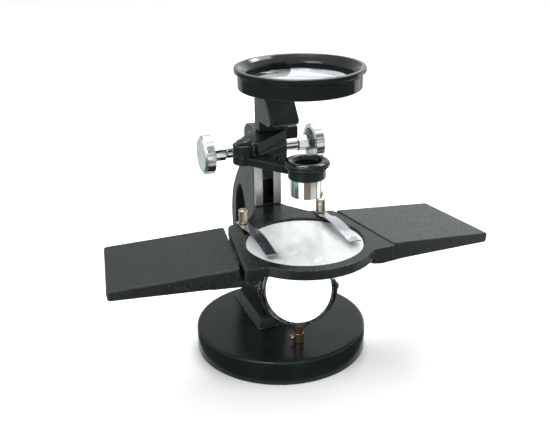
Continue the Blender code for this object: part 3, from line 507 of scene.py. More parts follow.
class Finish:
    """A procedural material around one Principled shader, with its pattern in object space."""

    def __init__(self, name, **values):
        self.made = bpy.data.materials.new(name)
        self.made.use_nodes = True
        self.tree = self.made.node_tree
        self.shader = self.tree.nodes["Principled BSDF"]
        self.coords = self.tree.nodes.new("ShaderNodeTexCoord").outputs["Object"]
        for key, value in values.items():
            self.shader.inputs[key.replace("_", " ")].default_value = value

    def put(self, socket, value):
        if isinstance(value, bpy.types.NodeSocket):
            self.tree.links.new(value, socket)
        elif hasattr(value, "__len__") and len(value) == 3 and socket.type == "RGBA":
            socket.default_value = (*value, 1.0)
        else:
            socket.default_value = value

    def noise(self, size, detail, stretch=(1.0, 1.0, 1.0)):
        """Noise whose features are about size millimetres across, stretched along each axis."""
        lay = self.tree.nodes.new("ShaderNodeMapping")
        lay.inputs["Scale"].default_value = [1.0 / (size * MM * s) for s in stretch]
        self.put(lay.inputs["Vector"], self.coords)
        made = self.tree.nodes.new("ShaderNodeTexNoise")
        made.inputs["Scale"].default_value = 1.0
        made.inputs["Detail"].default_value = detail
        self.put(made.inputs["Vector"], lay.outputs["Vector"])
        return made.outputs["Fac"]

    def ramp(self, value, low, high, start=0.0, end=1.0):
        made = self.tree.nodes.new("ShaderNodeMapRange")
        for key, number in zip(("From Min", "From Max", "To Min", "To Max"), (low, high, start, end)):
            made.inputs[key].default_value = number
        self.put(made.inputs["Value"], value)
        return made.outputs["Result"]

    def math(self, operation, a, b):
        made = self.tree.nodes.new("ShaderNodeMath")
        made.operation = operation
        self.put(made.inputs[0], a)
        self.put(made.inputs[1], b)
        return made.outputs["Value"]

    def mix(self, factor, a, b):
        made = self.tree.nodes.new("ShaderNodeMix")
        made.data_type = "RGBA"
        self.put(made.inputs[0], factor)
        self.put(made.inputs[6], a)
        self.put(made.inputs[7], b)
        return made.outputs[2]

    def edges(self, reach):
        """1 along outer edges within the reach in millimetres, 0 on open faces."""
        made = self.tree.nodes.new("ShaderNodeAmbientOcclusion")
        made.inside = True
        made.samples = 4
        made.inputs["Distance"].default_value = reach * MM
        return self.ramp(made.outputs["AO"], 0.8, 0.45)

    def crevices(self, reach):
        """1 in corners and crevices within the reach in millimetres."""
        made = self.tree.nodes.new("ShaderNodeAmbientOcclusion")
        made.samples = 4
        made.inputs["Distance"].default_value = reach * MM
        return self.ramp(made.outputs["AO"], 0.8, 0.3)

    def colour(self, value):
        self.put(self.shader.inputs["Base Color"], value)

    def roughness(self, value):
        self.put(self.shader.inputs["Roughness"], value)

    def bump(self, *layers):
        """Bump from (height, millimetres) layers, each on top of the one before."""
        normal = None
        for height, deep in layers:
            made = self.tree.nodes.new("ShaderNodeBump")
            made.inputs["Distance"].default_value = deep * MM
            self.put(made.inputs["Height"], height)
            if normal is not None:
                self.put(made.inputs["Normal"], normal)
            normal = made.outputs["Normal"]
        self.put(self.shader.inputs["Normal"], normal)


def enamel(name, dark, light, rough, peel):
    """Black stoving enamel on a casting: orange peel, dust, and rubbed edges."""
    made = Finish(name, IOR=PAINT_IOR)
    rub = made.math("MULTIPLY", made.edges(1.0), made.ramp(made.noise(2.2, 5.0), 0.42, 0.6))
    cloud = made.ramp(made.noise(14.0, 5.0), 0.3, 0.7)
    dust = made.ramp(made.noise(0.35, 2.0), 0.66, 0.8, 0.0, 0.35)
    base = made.mix(cloud, dark, light)
    base = made.mix(dust, base, (0.09, 0.09, 0.09))
    made.colour(made.mix(rub, base, WORN))
    gloss = made.ramp(made.noise(9.0, 6.0), 0.3, 0.7, rough - 0.05, rough + 0.07)
    made.roughness(made.math("ADD", gloss, made.math("MULTIPLY", rub, 0.15)))
    made.bump((made.noise(1.5, 2.0), peel), (made.noise(0.3, 3.0), peel * 0.25))
    return made.made


def textured_paint(name):
    """The fine grained paint of the hand rests."""
    made = Finish(name, IOR=PAINT_IOR)
    rub = made.math("MULTIPLY", made.edges(1.2), made.ramp(made.noise(1.2, 5.0), 0.4, 0.6))
    grain = made.noise(1.0, 4.0)
    base = made.mix(made.ramp(grain, 0.35, 0.7), (0.003, 0.005, 0.005), (0.016, 0.021, 0.021))
    base = made.mix(made.ramp(made.noise(0.9, 2.0), 0.62, 0.72, 0.0, 0.6), base, (0.07, 0.08, 0.08))
    made.colour(made.mix(rub, base, WORN))
    made.roughness(made.ramp(made.noise(1.6, 5.0), 0.35, 0.65, 0.30, 0.48))
    made.bump((made.noise(1.8, 3.0), 0.10), (grain, 0.06))
    return made.made


def moulding(name, rough):
    """Polished black plastic with faint scratches and dust."""
    made = Finish(name, IOR=1.42)
    scratch = made.noise(0.25, 2.0, (14.0, 1.0, 1.0))
    made.colour(made.mix(made.ramp(made.noise(0.3, 2.0), 0.7, 0.8, 0.0, 0.3), (0.006, 0.0085, 0.0088),
                         (0.08, 0.08, 0.08)))
    made.roughness(made.ramp(made.noise(6.0, 6.0), 0.3, 0.7, rough - 0.03, rough + 0.06))
    made.bump((scratch, 0.002), (made.noise(4.0, 2.0), 0.02))
    return made.made


def brushed_steel(name, tone, rough, grain, relief=0.006):
    """Ground steel with its grain along one axis and faint stains."""
    made = Finish(name, Metallic=1.0)
    lines = made.noise(0.12, 3.0, grain)
    stain = made.ramp(made.noise(5.0, 6.0), 0.45, 0.75)
    base = made.mix(made.ramp(lines, 0.3, 0.7), tuple(0.86 * t for t in tone), tone)
    made.colour(made.mix(made.math("MULTIPLY", stain, 0.35), base, tuple(0.6 * t for t in tone)))
    made.roughness(made.math("ADD", made.ramp(lines, 0.3, 0.7, rough - 0.06, rough + 0.08),
                             made.math("MULTIPLY", stain, 0.1)))
    made.bump((lines, relief))
    return made.made


def bright_chrome(name, rough):
    """Chrome plate with finger smears and fine pits, darker, browner and rougher in its crevices."""
    made = Finish(name, Metallic=1.0)
    smear = made.ramp(made.noise(7.0, 5.0), 0.4, 0.75)
    # darker, browner and rougher where ambient occlusion finds corners and crevices within 1.2 mm
    crevice_mask = made.crevices(1.2)
    base = made.mix(smear, (0.82, 0.83, 0.83), (0.70, 0.70, 0.69))
    made.colour(made.mix(made.math("MULTIPLY", crevice_mask, 0.6), base, (0.20, 0.18, 0.15)))
    shine = made.ramp(smear, 0.0, 1.0, rough, rough + 0.1)
    made.roughness(made.math("ADD", shine, made.math("MULTIPLY", crevice_mask, 0.25)))
    made.bump((made.noise(0.5, 4.0), 0.0015), (made.noise(6.0, 2.0), 0.012))
    return made.made


def old_brass(name, light, dark):
    """Turned brass gone dull, darker where it has tarnished."""
    made = Finish(name, Metallic=1.0)
    tarnish = made.ramp(made.noise(1.8, 6.0), 0.42, 0.68)
    rings = made.noise(0.15, 2.0, (20.0, 20.0, 1.0))
    made.colour(made.mix(made.math("MAXIMUM", tarnish, made.crevices(1.0)), light, dark))
    made.roughness(made.ramp(tarnish, 0.0, 1.0, 0.22, 0.45))
    made.bump((rings, 0.01), (made.noise(0.6, 4.0), 0.01))
    return made.made


def silvering(name):
    """A silvered glass face with a little dust."""
    made = Finish(name, Metallic=1.0)
    dust = made.ramp(made.noise(0.5, 3.0), 0.68, 0.8)
    made.colour(made.mix(dust, (0.97, 0.98, 0.98), (0.86, 0.87, 0.87)))
    made.roughness(made.ramp(made.noise(9.0, 5.0), 0.4, 0.8, 0.02, 0.08))
    made.bump((made.noise(14.0, 2.0), 0.001))
    return made.made


def clear_glass(name, tint):
    """Clear glass with finger marks that show in its gloss."""
    made = Finish(name, IOR=1.52)
    made.shader.inputs["Transmission Weight"].default_value = 1.0
    made.colour(made.mix(made.ramp(made.noise(8.0, 4.0), 0.4, 0.7), (0.64, 0.70, 0.70), tint))
    made.roughness(made.ramp(made.noise(5.0, 6.0), 0.5, 0.8, 0.0, 0.05))
    made.bump((made.noise(20.0, 1.0), 0.004))
    return made.made


def opal_glass(name):
    """White opal glass with a green cast, pale smears and a polished face."""
    made = Finish(name, IOR=1.52, Coat_Weight=0.6, Coat_Roughness=0.03)
    smear = made.ramp(made.noise(17.0, 3.0, (0.6, 1.6, 1.0)), 0.4, 0.62)
    spots = made.ramp(made.noise(0.8, 3.0), 0.66, 0.8, 0.0, 0.35)
    base = made.mix(smear, (0.53, 0.56, 0.555), (0.665, 0.68, 0.665))
    made.colour(made.mix(spots, base, (0.60, 0.62, 0.61)))
    made.roughness(made.ramp(made.noise(6.0, 5.0), 0.35, 0.7, 0.05, 0.16))
    made.bump((made.noise(12.0, 2.0), 0.01))
    return made.made


GLOSS_ENAMEL = enamel("gloss_enamel", (0.0045, 0.0085, 0.0085), (0.0080, 0.0130, 0.0130), 0.2, 0.03)
SATIN_ENAMEL = enamel("satin_enamel", (0.0045, 0.0080, 0.0080), (0.0090, 0.0135, 0.0140), 0.27, 0.035)
BLACKED_STEEL = enamel("blacked_steel", (0.006, 0.006, 0.007), (0.014, 0.014, 0.015), 0.35, 0.01)
REST_PAINT = textured_paint("rest_paint")
GLOSS_PLASTIC = moulding("gloss_plastic", 0.12)
EYE_PLASTIC = moulding("eye_plastic", 0.13)
DRAWN_STEEL = brushed_steel("drawn_steel", (0.74, 0.73, 0.68), 0.3, (1.0, 1.0, 40.0))
SCREW_STEEL = brushed_steel("screw_steel", (0.55, 0.54, 0.52), 0.34, (6.0, 6.0, 1.0))
SPRING_STEEL = brushed_steel("spring_steel", (0.57, 0.60, 0.64), 0.17, (1.0, 40.0, 1.0), 0.0003)
CHROME = bright_chrome("chrome", 0.07)
KNOB_CHROME = bright_chrome("knob_chrome", 0.22)
BRASS = old_brass("brass", (0.74, 0.65, 0.50), (0.52, 0.42, 0.30))
PIN_BRASS = old_brass("pin_brass", (0.50, 0.36, 0.21), (0.17, 0.11, 0.08))
SILVER = silvering("silvering")
LENS_GLASS = clear_glass("lens_glass", (0.50, 0.57, 0.58))
OPAL = opal_glass("opal_glass")


# --------------------------------------------------------------------- stand

def base_casting():
    high = extent("base_casting")[1]
    radius, top = high.x, high.z
    edge = filleted([(0.0, 0.0, 0), (radius, 0.0, 0.9), (radius, top, 2.0), (0.0, top, 0)], 8)
    body = raw(turned(edge, 192))
    for where in ("front", "back"):
        bolt_low, bolt_high = extent(f"base_bolt_{where}")
        at = ((bolt_low + bolt_high) / 2).xy
        head = (bolt_high.x - bolt_low.x) / 2
        cut(body, rod(head + 0.5, -1.0, BOLT_POCKET_TOP, at), rod(head - BOLT_SHOULDER, 6.0, top + 1, at))
        keep(f"base_bolt_{where}", SCREW_STEEL)
    show("base_casting", body, GLOSS_ENAMEL)


def limb_casting():
    low, high = extent("limb_casting")
    half = extent("slideway_right")[1].x
    top = high.z
    nose = 3.0
    outline = [*smooth(LIMB_LOWER_FRONT, 5), (LIMB_FRONT, FLANGE_FOOT), (LIMB_FRONT, top - nose)]
    outline += arc((LIMB_FRONT + nose, top - nose), nose, 180, 90, 6)
    outline += smooth(LIMB_BACK, 6)
    body = raw(prism(outline, -half, half, "X"))
    slot = []
    steps = 72
    for step in range(steps):
        angle = 2 * math.pi * step / steps
        across, up = SLOT_HALF[0] * math.cos(angle), SLOT_HALF[1] * math.sin(angle)
        slot.append((SLOT_AT[0] + across, SLOT_AT[1] + up))
    cut(body, prism(slot, -half - PAST, half + PAST, "X"),
        rod(SIDE_SCREW_BORE, -half - PAST, -CHANNEL_HALF - 0.2, SIDE_SCREW_AT, "X"))
    rounded(body, CAST_EDGE, 4, 40.0)
    foot = []
    for inset, z in ((0.0, low.z), (FOOT_SLOPE, low.z + FOOT_H)):
        for x in (-FOOT_HALF + inset, FOOT_HALF - inset):
            foot += [(x, FOOT_FRONT + inset, z), (x, FOOT_BACK - FOOT_TAIL[1] - inset, z)]
            foot.append((math.copysign(FOOT_TAIL[0] - inset, x), FOOT_BACK - inset, z))
    add(body, rounded(raw(hull(foot)), PAINT_EDGE, 3))
    stage_top = extent("stage_plate")[1].z
    cut(body, block((-CHANNEL_HALF, LIMB_FRONT - PAST, stage_top + CHANNEL_CLEAR),
                    (CHANNEL_HALF, CHANNEL_BACK, top + PAST)))
    axle = joint_at("pinion_turn")[1:]
    cut(body, rod(PINION_ROOM_R, -CHANNEL_HALF, CHANNEL_HALF, axle, "X"))
    cut(body, rod(BUSH_R + GAP, -half - PAST, half + PAST, axle, "X"))
    show("limb_casting", body, SATIN_ENAMEL)
    screw_low, screw_high = extent("limb_side_screw")
    slotted("limb_side_screw", SCREW_STEEL, SIDE_SCREW, (-half - 0.2, screw_low.x), screw_high.x,
            SIDE_SCREW_AT, "X", 0.9)


def slideways():
    for side in SIDES:
        low, high = extent(f"slideway_{side}")
        show(f"slideway_{side}", rounded(raw(block(low, high)), 0.35), DRAWN_STEEL)


def stage_plate():
    low, high = extent("stage_plate")
    top = high.z
    ring = arc((0.0, STAGE_Y), STAGE_R, *STAGE_ARC, 72)
    side = filleted([(0, STAGE_FRONT, 0), (high.x, STAGE_FRONT, 1.6), *STAGE_SIDE], 6)[1:]
    other = [(-x, y) for x, y in reversed(side)]
    body = rounded(raw(prism(ring + side + other, top - STAGE_DEEP, top)), STAGE_EDGE, 3, 40.0)
    proud = 0.02
    for sign in SIDES.values():
        corners = ((high.x + proud, STAGE_FRONT - proud, 1.6), (39.5 + proud, -7.5, 2.0), *LUG_INNER,
                   (37.5, STAGE_FRONT - proud, 0.8))
        lug = filleted([(sign * x, y, radius) for x, y, radius in corners], 4)
        add(body, rounded(raw(prism(lug, top - LUG_DEEP, top - STAGE_DEEP + 1)), STAGE_EDGE, 3, 40.0))
    flange = extent("slideway_right")[1].x - 0.5
    web = block((-flange, FLANGE_Y[0], low.z), (flange, FLANGE_Y[1], top - STAGE_DEEP + 1))
    add(body, rounded(raw(web), STAGE_EDGE))
    seat_low = top - SEAT_DEEP
    seat = [(0.0, low.z), (OPENING_R + 0.5, low.z), (OPENING_R + 0.5, top - STAGE_DEEP - 0.1),
            (OPENING_R, top - STAGE_DEEP + 0.4), (OPENING_R, seat_low), (SEAT_R, seat_low),
            (SEAT_R, top - 0.5), (SEAT_R + 0.5, top), (SEAT_R + 0.5, top + 3), (0.0, top + 3)]
    cut(body, turned(seat, 160, (0.0, STAGE_Y, 0.0)))
    for side in SIDES:
        x, y = joint_at(f"clip_{side}_swing")[:2]
        cut(body, rod(CLIP_BORE, low.z, top + PAST, (x, y)))
    for side in SIDES:
        keep(f"stage_screw_{side}", SCREW_STEEL)
        keep(f"rest_screw_{side}", SCREW_STEEL)
    show("stage_plate", body, SATIN_ENAMEL)


def stage_glass():
    low, high = extent("stage_glass")
    radius = (high.x - low.x) / 2
    outline = filleted([(0.0, low.z, 0), (radius, low.z, 0.4), (radius, high.z, 0.4), (0.0, high.z, 0)], 4)
    show("stage_glass", turned(outline, 160, (0.0, STAGE_Y, 0.0)), OPAL)


def rest_block(droop, out, along, high, low_in, low_out, corner):
    """A slab with a sloping underside and rounded corners, in the rest's drooping frame."""
    plan = filleted([(out[0], along[0], corner), (out[1], along[0], corner),
                     (out[1], along[1], corner), (out[0], along[1], corner)], 6)
    mesh = prism(plan, 0.0, 1.0)
    for vert in mesh.verts:
        share = (vert.co.x - out[0]) / (out[1] - out[0])
        vert.co.z = high if vert.co.z > 0.5 else low_in + (low_out - low_in) * share
    mesh.transform(Matrix.Rotation(droop, 4, "Y"))
    return mesh


def tongue_plan():
    """The tongue's rounded plan, with the open slot that passes its screw."""
    low, high = REST_SCREW[1] - TONGUE_HALF, REST_SCREW[1] + TONGUE_HALF
    corner = TONGUE_HALF / 2
    inner, outer = TONGUE_ENDS
    plan = [(outer, low), (outer, high)]
    plan += arc((inner + corner, high - corner), corner, 90, 180, 10)
    plan += [(inner, REST_SCREW[1] + REST_SLOT)]
    plan += arc(REST_SCREW, REST_SLOT, 90, -90, 16)
    plan += [(inner, REST_SCREW[1] - REST_SLOT)]
    plan += arc((inner + corner, low + corner), corner, 180, 270, 10)
    return plan[::-1]


def hand_rests():
    for side, sign in SIDES.items():
        droop = REST_DROOP[side]
        axis = Vector(joints[f"rest_{side}_slide"]["axis"])
        sweep = math.atan2(axis.y, abs(axis.x))
        edge = (-REST_HALF, REST_HALF)
        body = raw(rest_block(droop, (0.0, REST_LONG), edge, 0.0, -REST_DEEP, -REST_TIP, 2.0))
        rounded(body, 1.3, 4, 40.0)
        inner = REST_HALF - REST_WALL
        under = -REST_DEEP - PAST
        cut(body, rest_block(droop, (REST_WALL, REST_LONG - REST_WALL), (-inner, inner), -REST_ROOF,
                             under, under, 1.5))
        add(body, rounded(raw(prism(tongue_plan(), *TONGUE)), 0.5, 2, 60.0))
        turn = Matrix.Rotation(sweep, 4, "Z")
        place = Matrix.Translation(Vector(REST_AT) * MM) @ turn
        if sign < 0:
            place = Matrix.Scale(-1, 4, (1, 0, 0)) @ place
        body.data.transform(place)
        if sign < 0:
            body.data.flip_normals()
        show(f"hand_rest_{side}", body, REST_PAINT)


# ------------------------------------------------------------------ focusing

def carriage_block():
    low, high = extent("carriage_block")
    top, right = CARRIAGE_TOP, extent("slideway_right")[1].x
    back = high.y
    pivot = tuple(joint_at("arm_swing")[:2])
    near, far = (-15.5, -6.0), (-27.5, 7.0)
    upper = [(right, 9.6, BOSS_LOW), (right, 9.6, 150.9), (right, 11.1, top), (right, back, BOSS_LOW),
             (right, back, top), (-right, back, BOSS_LOW), (-right, back, top), (-10.0, 9.4, top),
             (*near, BOSS_LOW), (*near, 146.2), (-16.0, -4.6, BOSS_TOP), (*far, BOSS_LOW),
             (*far, BOSS_TOP)]
    lower = [(right, 9.5, low.z), (right, back, low.z), (-right, back, low.z), (-right, 13.0, low.z),
             (-11.0, -0.5, BOSS_LOW + 1), (-18.0, 13.0, BOSS_LOW + 1), (right, 9.9, BOSS_LOW + 1),
             (right - 0.4, back - 0.4, BOSS_LOW + 1), (-right, back - 0.4, BOSS_LOW + 1)]
    body = rounded(raw(hull(upper)), PAINT_EDGE, 3, 12.0)
    add(body, rounded(raw(hull(lower)), PAINT_EDGE, 3, 20.0))
    boss = filleted([(0.0, BOSS_LOW, 0), (BOSS_R, BOSS_LOW, 0.4), (BOSS_R, BOSS_TOP, 1.2),
                     (0.0, BOSS_TOP, 0)], 5)
    add(body, turned(boss, 96, (*pivot, 0.0)))
    lug_low, lug_high = LUG_Z
    ends = [(right - 1, lug_low), (right - 1, lug_high - 4), (right + 1.5, lug_high), (high.x, lug_low),
            (high.x, lug_high)]
    add(body, rounded(raw(hull([(x, y, z) for x, z in ends for y in LUG_Y])), 0.7, 4))
    cut(body, rod(PIVOT_BORE, low.z - PAST, top + PAST, pivot),
        rod(PIVOT_SEAT_R, BOSS_TOP, top + PAST, pivot))
    cut(body, block((-TENON_HALF - GAP, TENON[0] - GAP, TENON_POCKET),
                    (TENON_HALF + GAP, TENON[1] + GAP, top + PAST)))
    cut(body, rod(GRUB_BORE, TENON_HALF / 2, high.x + PAST, GRUB_AT, "X"))
    for z in RACK_SCREW_ZS:
        cut(body, rod(RACK_SCREW_POCKET, low.y - PAST, RACK_SCREW_SEAT, (0.0, z), "Y"))
    show("carriage_block", body, GLOSS_ENAMEL)
    for where in ("lower", "upper"):
        keep(f"rack_screw_{where}", SCREW_STEEL)
    keep("magnifier_grub_screw", SCREW_STEEL)


def rack_and_pinion():
    keep("focus_rack", BLACKED_STEEL)
    keep("pinion_shaft", SCREW_STEEL)
    axle = joint_at("pinion_turn")[1:]
    for side in SIDES:
        low, high = extent(f"pinion_bush_{side}")
        show(f"pinion_bush_{side}", tube(SHAFT_R + GAP, BUSH_R, low.x, high.x, axle, "X", 0.5), CHROME)
        low, high = extent(f"knob_collar_{side}")
        corner = COLLAR_FLATS / 2 / math.cos(math.pi / 6)
        nut = raw(prism(arc(axle, corner, 20, 320, 5), low.x, high.x, "X"))
        rounded(nut, 0.45, 3)
        cut(nut, rod(SHAFT_R + GAP, low.x - 1, high.x + 1, axle, "X"))
        show(f"knob_collar_{side}", nut, CHROME)


def knobs():
    axle = joint_at("pinion_turn")[1:]
    outline = []
    steps = KNOB_LOBES * 14
    for step in range(steps):
        angle = 2 * math.pi * step / steps
        radius = KNOB_R - KNOB_FLUTE * math.sin(KNOB_LOBES * angle / 2) ** 2
        outline.append((axle[0] + radius * math.cos(angle), axle[1] + radius * math.sin(angle)))
    for side, sign in SIDES.items():
        low, high = extent(f"knob_{side}")
        inner, outer = (abs(low.x), abs(high.x)) if sign > 0 else (abs(high.x), abs(low.x))
        ends = sorted((sign * inner, sign * (outer - 1.2)))
        body = rounded(raw(prism(outline, *ends, "X")), 0.45, 3, 50.0)
        crown = filleted([(0.0, sign * (outer - 2), 0), (CROWN_R, sign * (outer - 2), 0),
                          (CROWN_R, sign * outer, 1.0), (0.0, sign * outer, 0)], 5)
        add(body, turned(crown, 128, (0.0, *axle), "X"))
        hub, rim, wall = KNOB_CUP
        mouth, floor = sign * (inner - 1), sign * (inner + KNOB_CUP_DEEP)
        cup = [(hub, mouth), (rim, mouth), (wall, sign * (inner + 0.2)), (wall, floor), (hub, floor)]
        cut(body, turned(cup, 128, (0.0, *axle), "X"))
        bore = sorted((mouth, sign * KNOB_BORE_END))
        cut(body, rod(SHAFT_R + GAP, *bore, axle, "X"))
        show(f"knob_{side}", body, KNOB_CHROME)


# ---------------------------------------------------- lens arm and eyepiece

def lens_arm():
    low, high = extent("lens_arm")
    pivot = Vector(joint_at("arm_swing")[:2])
    eye_low, eye_high = extent("eyepiece_cup")
    eye = ((eye_low + eye_high) / 2).xy
    screw_low, screw_high = extent("arm_pivot_screw")
    arm_low, arm_high = screw_low.z - 0.2, BOSS_LOW - GAP
    side = (eye - pivot).orthogonal().normalized() * (ARM_WIDE / 2)
    bar = [tuple(pivot - side), tuple(eye - side), tuple(eye + side), tuple(pivot + side)]
    body = raw(prism(bar, arm_low + 0.01, arm_high - 0.01))
    rounded(body, 0.9, 4)
    hub = filleted([(0.0, arm_low, 0), (BOSS_R, arm_low, 0.8), (BOSS_R, arm_high, 0.4),
                    (0.0, arm_high, 0)], 5)
    ring = filleted([(0.0, low.z, 0), (RING_R, low.z, 0.6), (RING_R, high.z, 0.6), (0.0, high.z, 0)], 5)
    add(body, turned(hub, 96, (*pivot, 0.0)), turned(ring, 128, (*eye, 0.0)))
    ends = (low.z - PAST, high.z + PAST)
    cut(body, rod(BARREL_R + GAP, *ends, eye), rod(PIVOT_BORE, *ends, pivot))
    show("lens_arm", body, GLOSS_ENAMEL)
    head = (screw_high.z - SCREW_HEAD_H, screw_high.z)
    slotted("arm_pivot_screw", BLACKED_STEEL, PIVOT_SCREW, head, screw_low.z, pivot, "Z", 0.5)


def eyepiece():
    low, high = extent("eyepiece_cup")
    centre = (*((low + high) / 2).xy, 0.0)
    seat = low.z + EYE_SEAT
    spigot = BARREL_BORE - GAP
    bulge = smooth([(radius, seat + height) for radius, height in EYE_BULGE], 5)
    cup = [(EYE_HOLE, low.z), (spigot, low.z), (spigot, seat), *bulge]
    show("eyepiece_cup", turned(cup, 128, centre), EYE_PLASTIC)
    low, high = extent("eyepiece_barrel")
    ledge = low.z + BARREL_LEDGE
    barrel = filleted([(BARREL_MOUTH, low.z, 0.3), (BARREL_R, low.z, 0.5), (BARREL_R, high.z, 0.2),
                       (BARREL_BORE, high.z, 0.2), (BARREL_BORE, ledge, 0), (BARREL_MOUTH, ledge, 0)], 4)
    show("eyepiece_barrel", turned(barrel, 128, centre), CHROME)
    lens("eyepiece_lens", *EYE_LENS, centre)
    low, high = extent("eyepiece_retainer")
    ring = tube(RETAINER_IN["eyepiece"], EYE_LENS[0], low.z, high.z, centre[:2])
    show("eyepiece_retainer", ring, EYE_PLASTIC)


def lens(node, radius, sag, centre):
    low, high = extent(node)
    steps = 20
    below, above = [], []
    for step in range(steps + 1):
        r = radius * step / steps
        bow = sag * (1 - (r / radius) ** 2)
        below.append((r, low.z + sag - bow))
        above.append((r, high.z - sag + bow))
    show(node, turned(below + above[::-1], 128, centre), LENS_GLASS)


# ----------------------------------------------------------------- magnifier

def magnifier_bracket():
    low, high = extent("magnifier_bracket")
    foot = CARRIAGE_TOP + GAP
    outline = [(high.y, foot), (high.y, high.z), *smooth(BRACKET_FRONT, 6)[::-1], BRACKET_CHIN,
               (BRACKET_CHIN[0], foot)]
    body = rounded(raw(prism(outline, low.x, high.x, "X")), 1.0, 4, 40.0)
    add(body, rounded(raw(block((-TENON_HALF, TENON[0], low.z), (TENON_HALF, TENON[1], foot + 2))), 0.3))
    show("magnifier_bracket", body, SATIN_ENAMEL)


def magnifier_cell():
    low, high = extent("magnifier_cell")
    centre = (0.0, (low.y + low.y + 2 * LIP_R) / 2, 0.0)
    bottom, top = low.z, high.z
    outline = filleted([
        (CELL_BORE, bottom, 0.3), (CELL_R, bottom, 0.9), (CELL_R, CELL_STEP, 0.5),
        (CELL_R - 0.6, CELL_STEP + 0.7, 0.3), (CELL_R + 0.6, LIP_LOW - 0.5, 0.3), (LIP_R, LIP_LOW, 0.6),
        (LIP_R, top, 0.6), (LIP_R - 2.7, top, 0.9), (LIP_R - 5.0, top - 1.6, 3.0),
        (CELL_OPENING + 0.5, FUNNEL_LOW + 1.2, 2.0), (CELL_OPENING, FUNNEL_LOW, 1.0),
        (CELL_OPENING, LENS_SEAT, 0), (CELL_BORE, LENS_SEAT, 0)], 6)
    body = raw(turned(outline, 224, centre))
    tongue = rounded(raw(block((-9.0, -3.0, bottom), (9.0, high.y, LENS_SEAT - 0.1))), PAINT_EDGE)
    add(body, tongue)
    cut(body, rod(CELL_BORE, bottom - PAST, LENS_SEAT, centre[:2], steps=224))
    show("magnifier_cell", body, GLOSS_PLASTIC)
    lens("magnifier_lens", LENS_R, LENS_SAG, centre)
    low, high = extent("magnifier_retainer")
    ring = tube(RETAINER_IN["magnifier"], LENS_R, low.z, high.z, centre[:2], steps=160)
    show("magnifier_retainer", ring, GLOSS_PLASTIC)
    for number, where in enumerate(("front", "back")):
        low, high = extent(f"magnifier_screw_{where}")
        at = ((low + high) / 2).xy
        head = (high.z - SCREW_HEAD_H, high.z)
        slotted(f"magnifier_screw_{where}", SCREW_STEEL, CELL_SCREW, head, low.z, at, "Z", 0.3 + number)


# -------------------------------------------------------------------- mirror

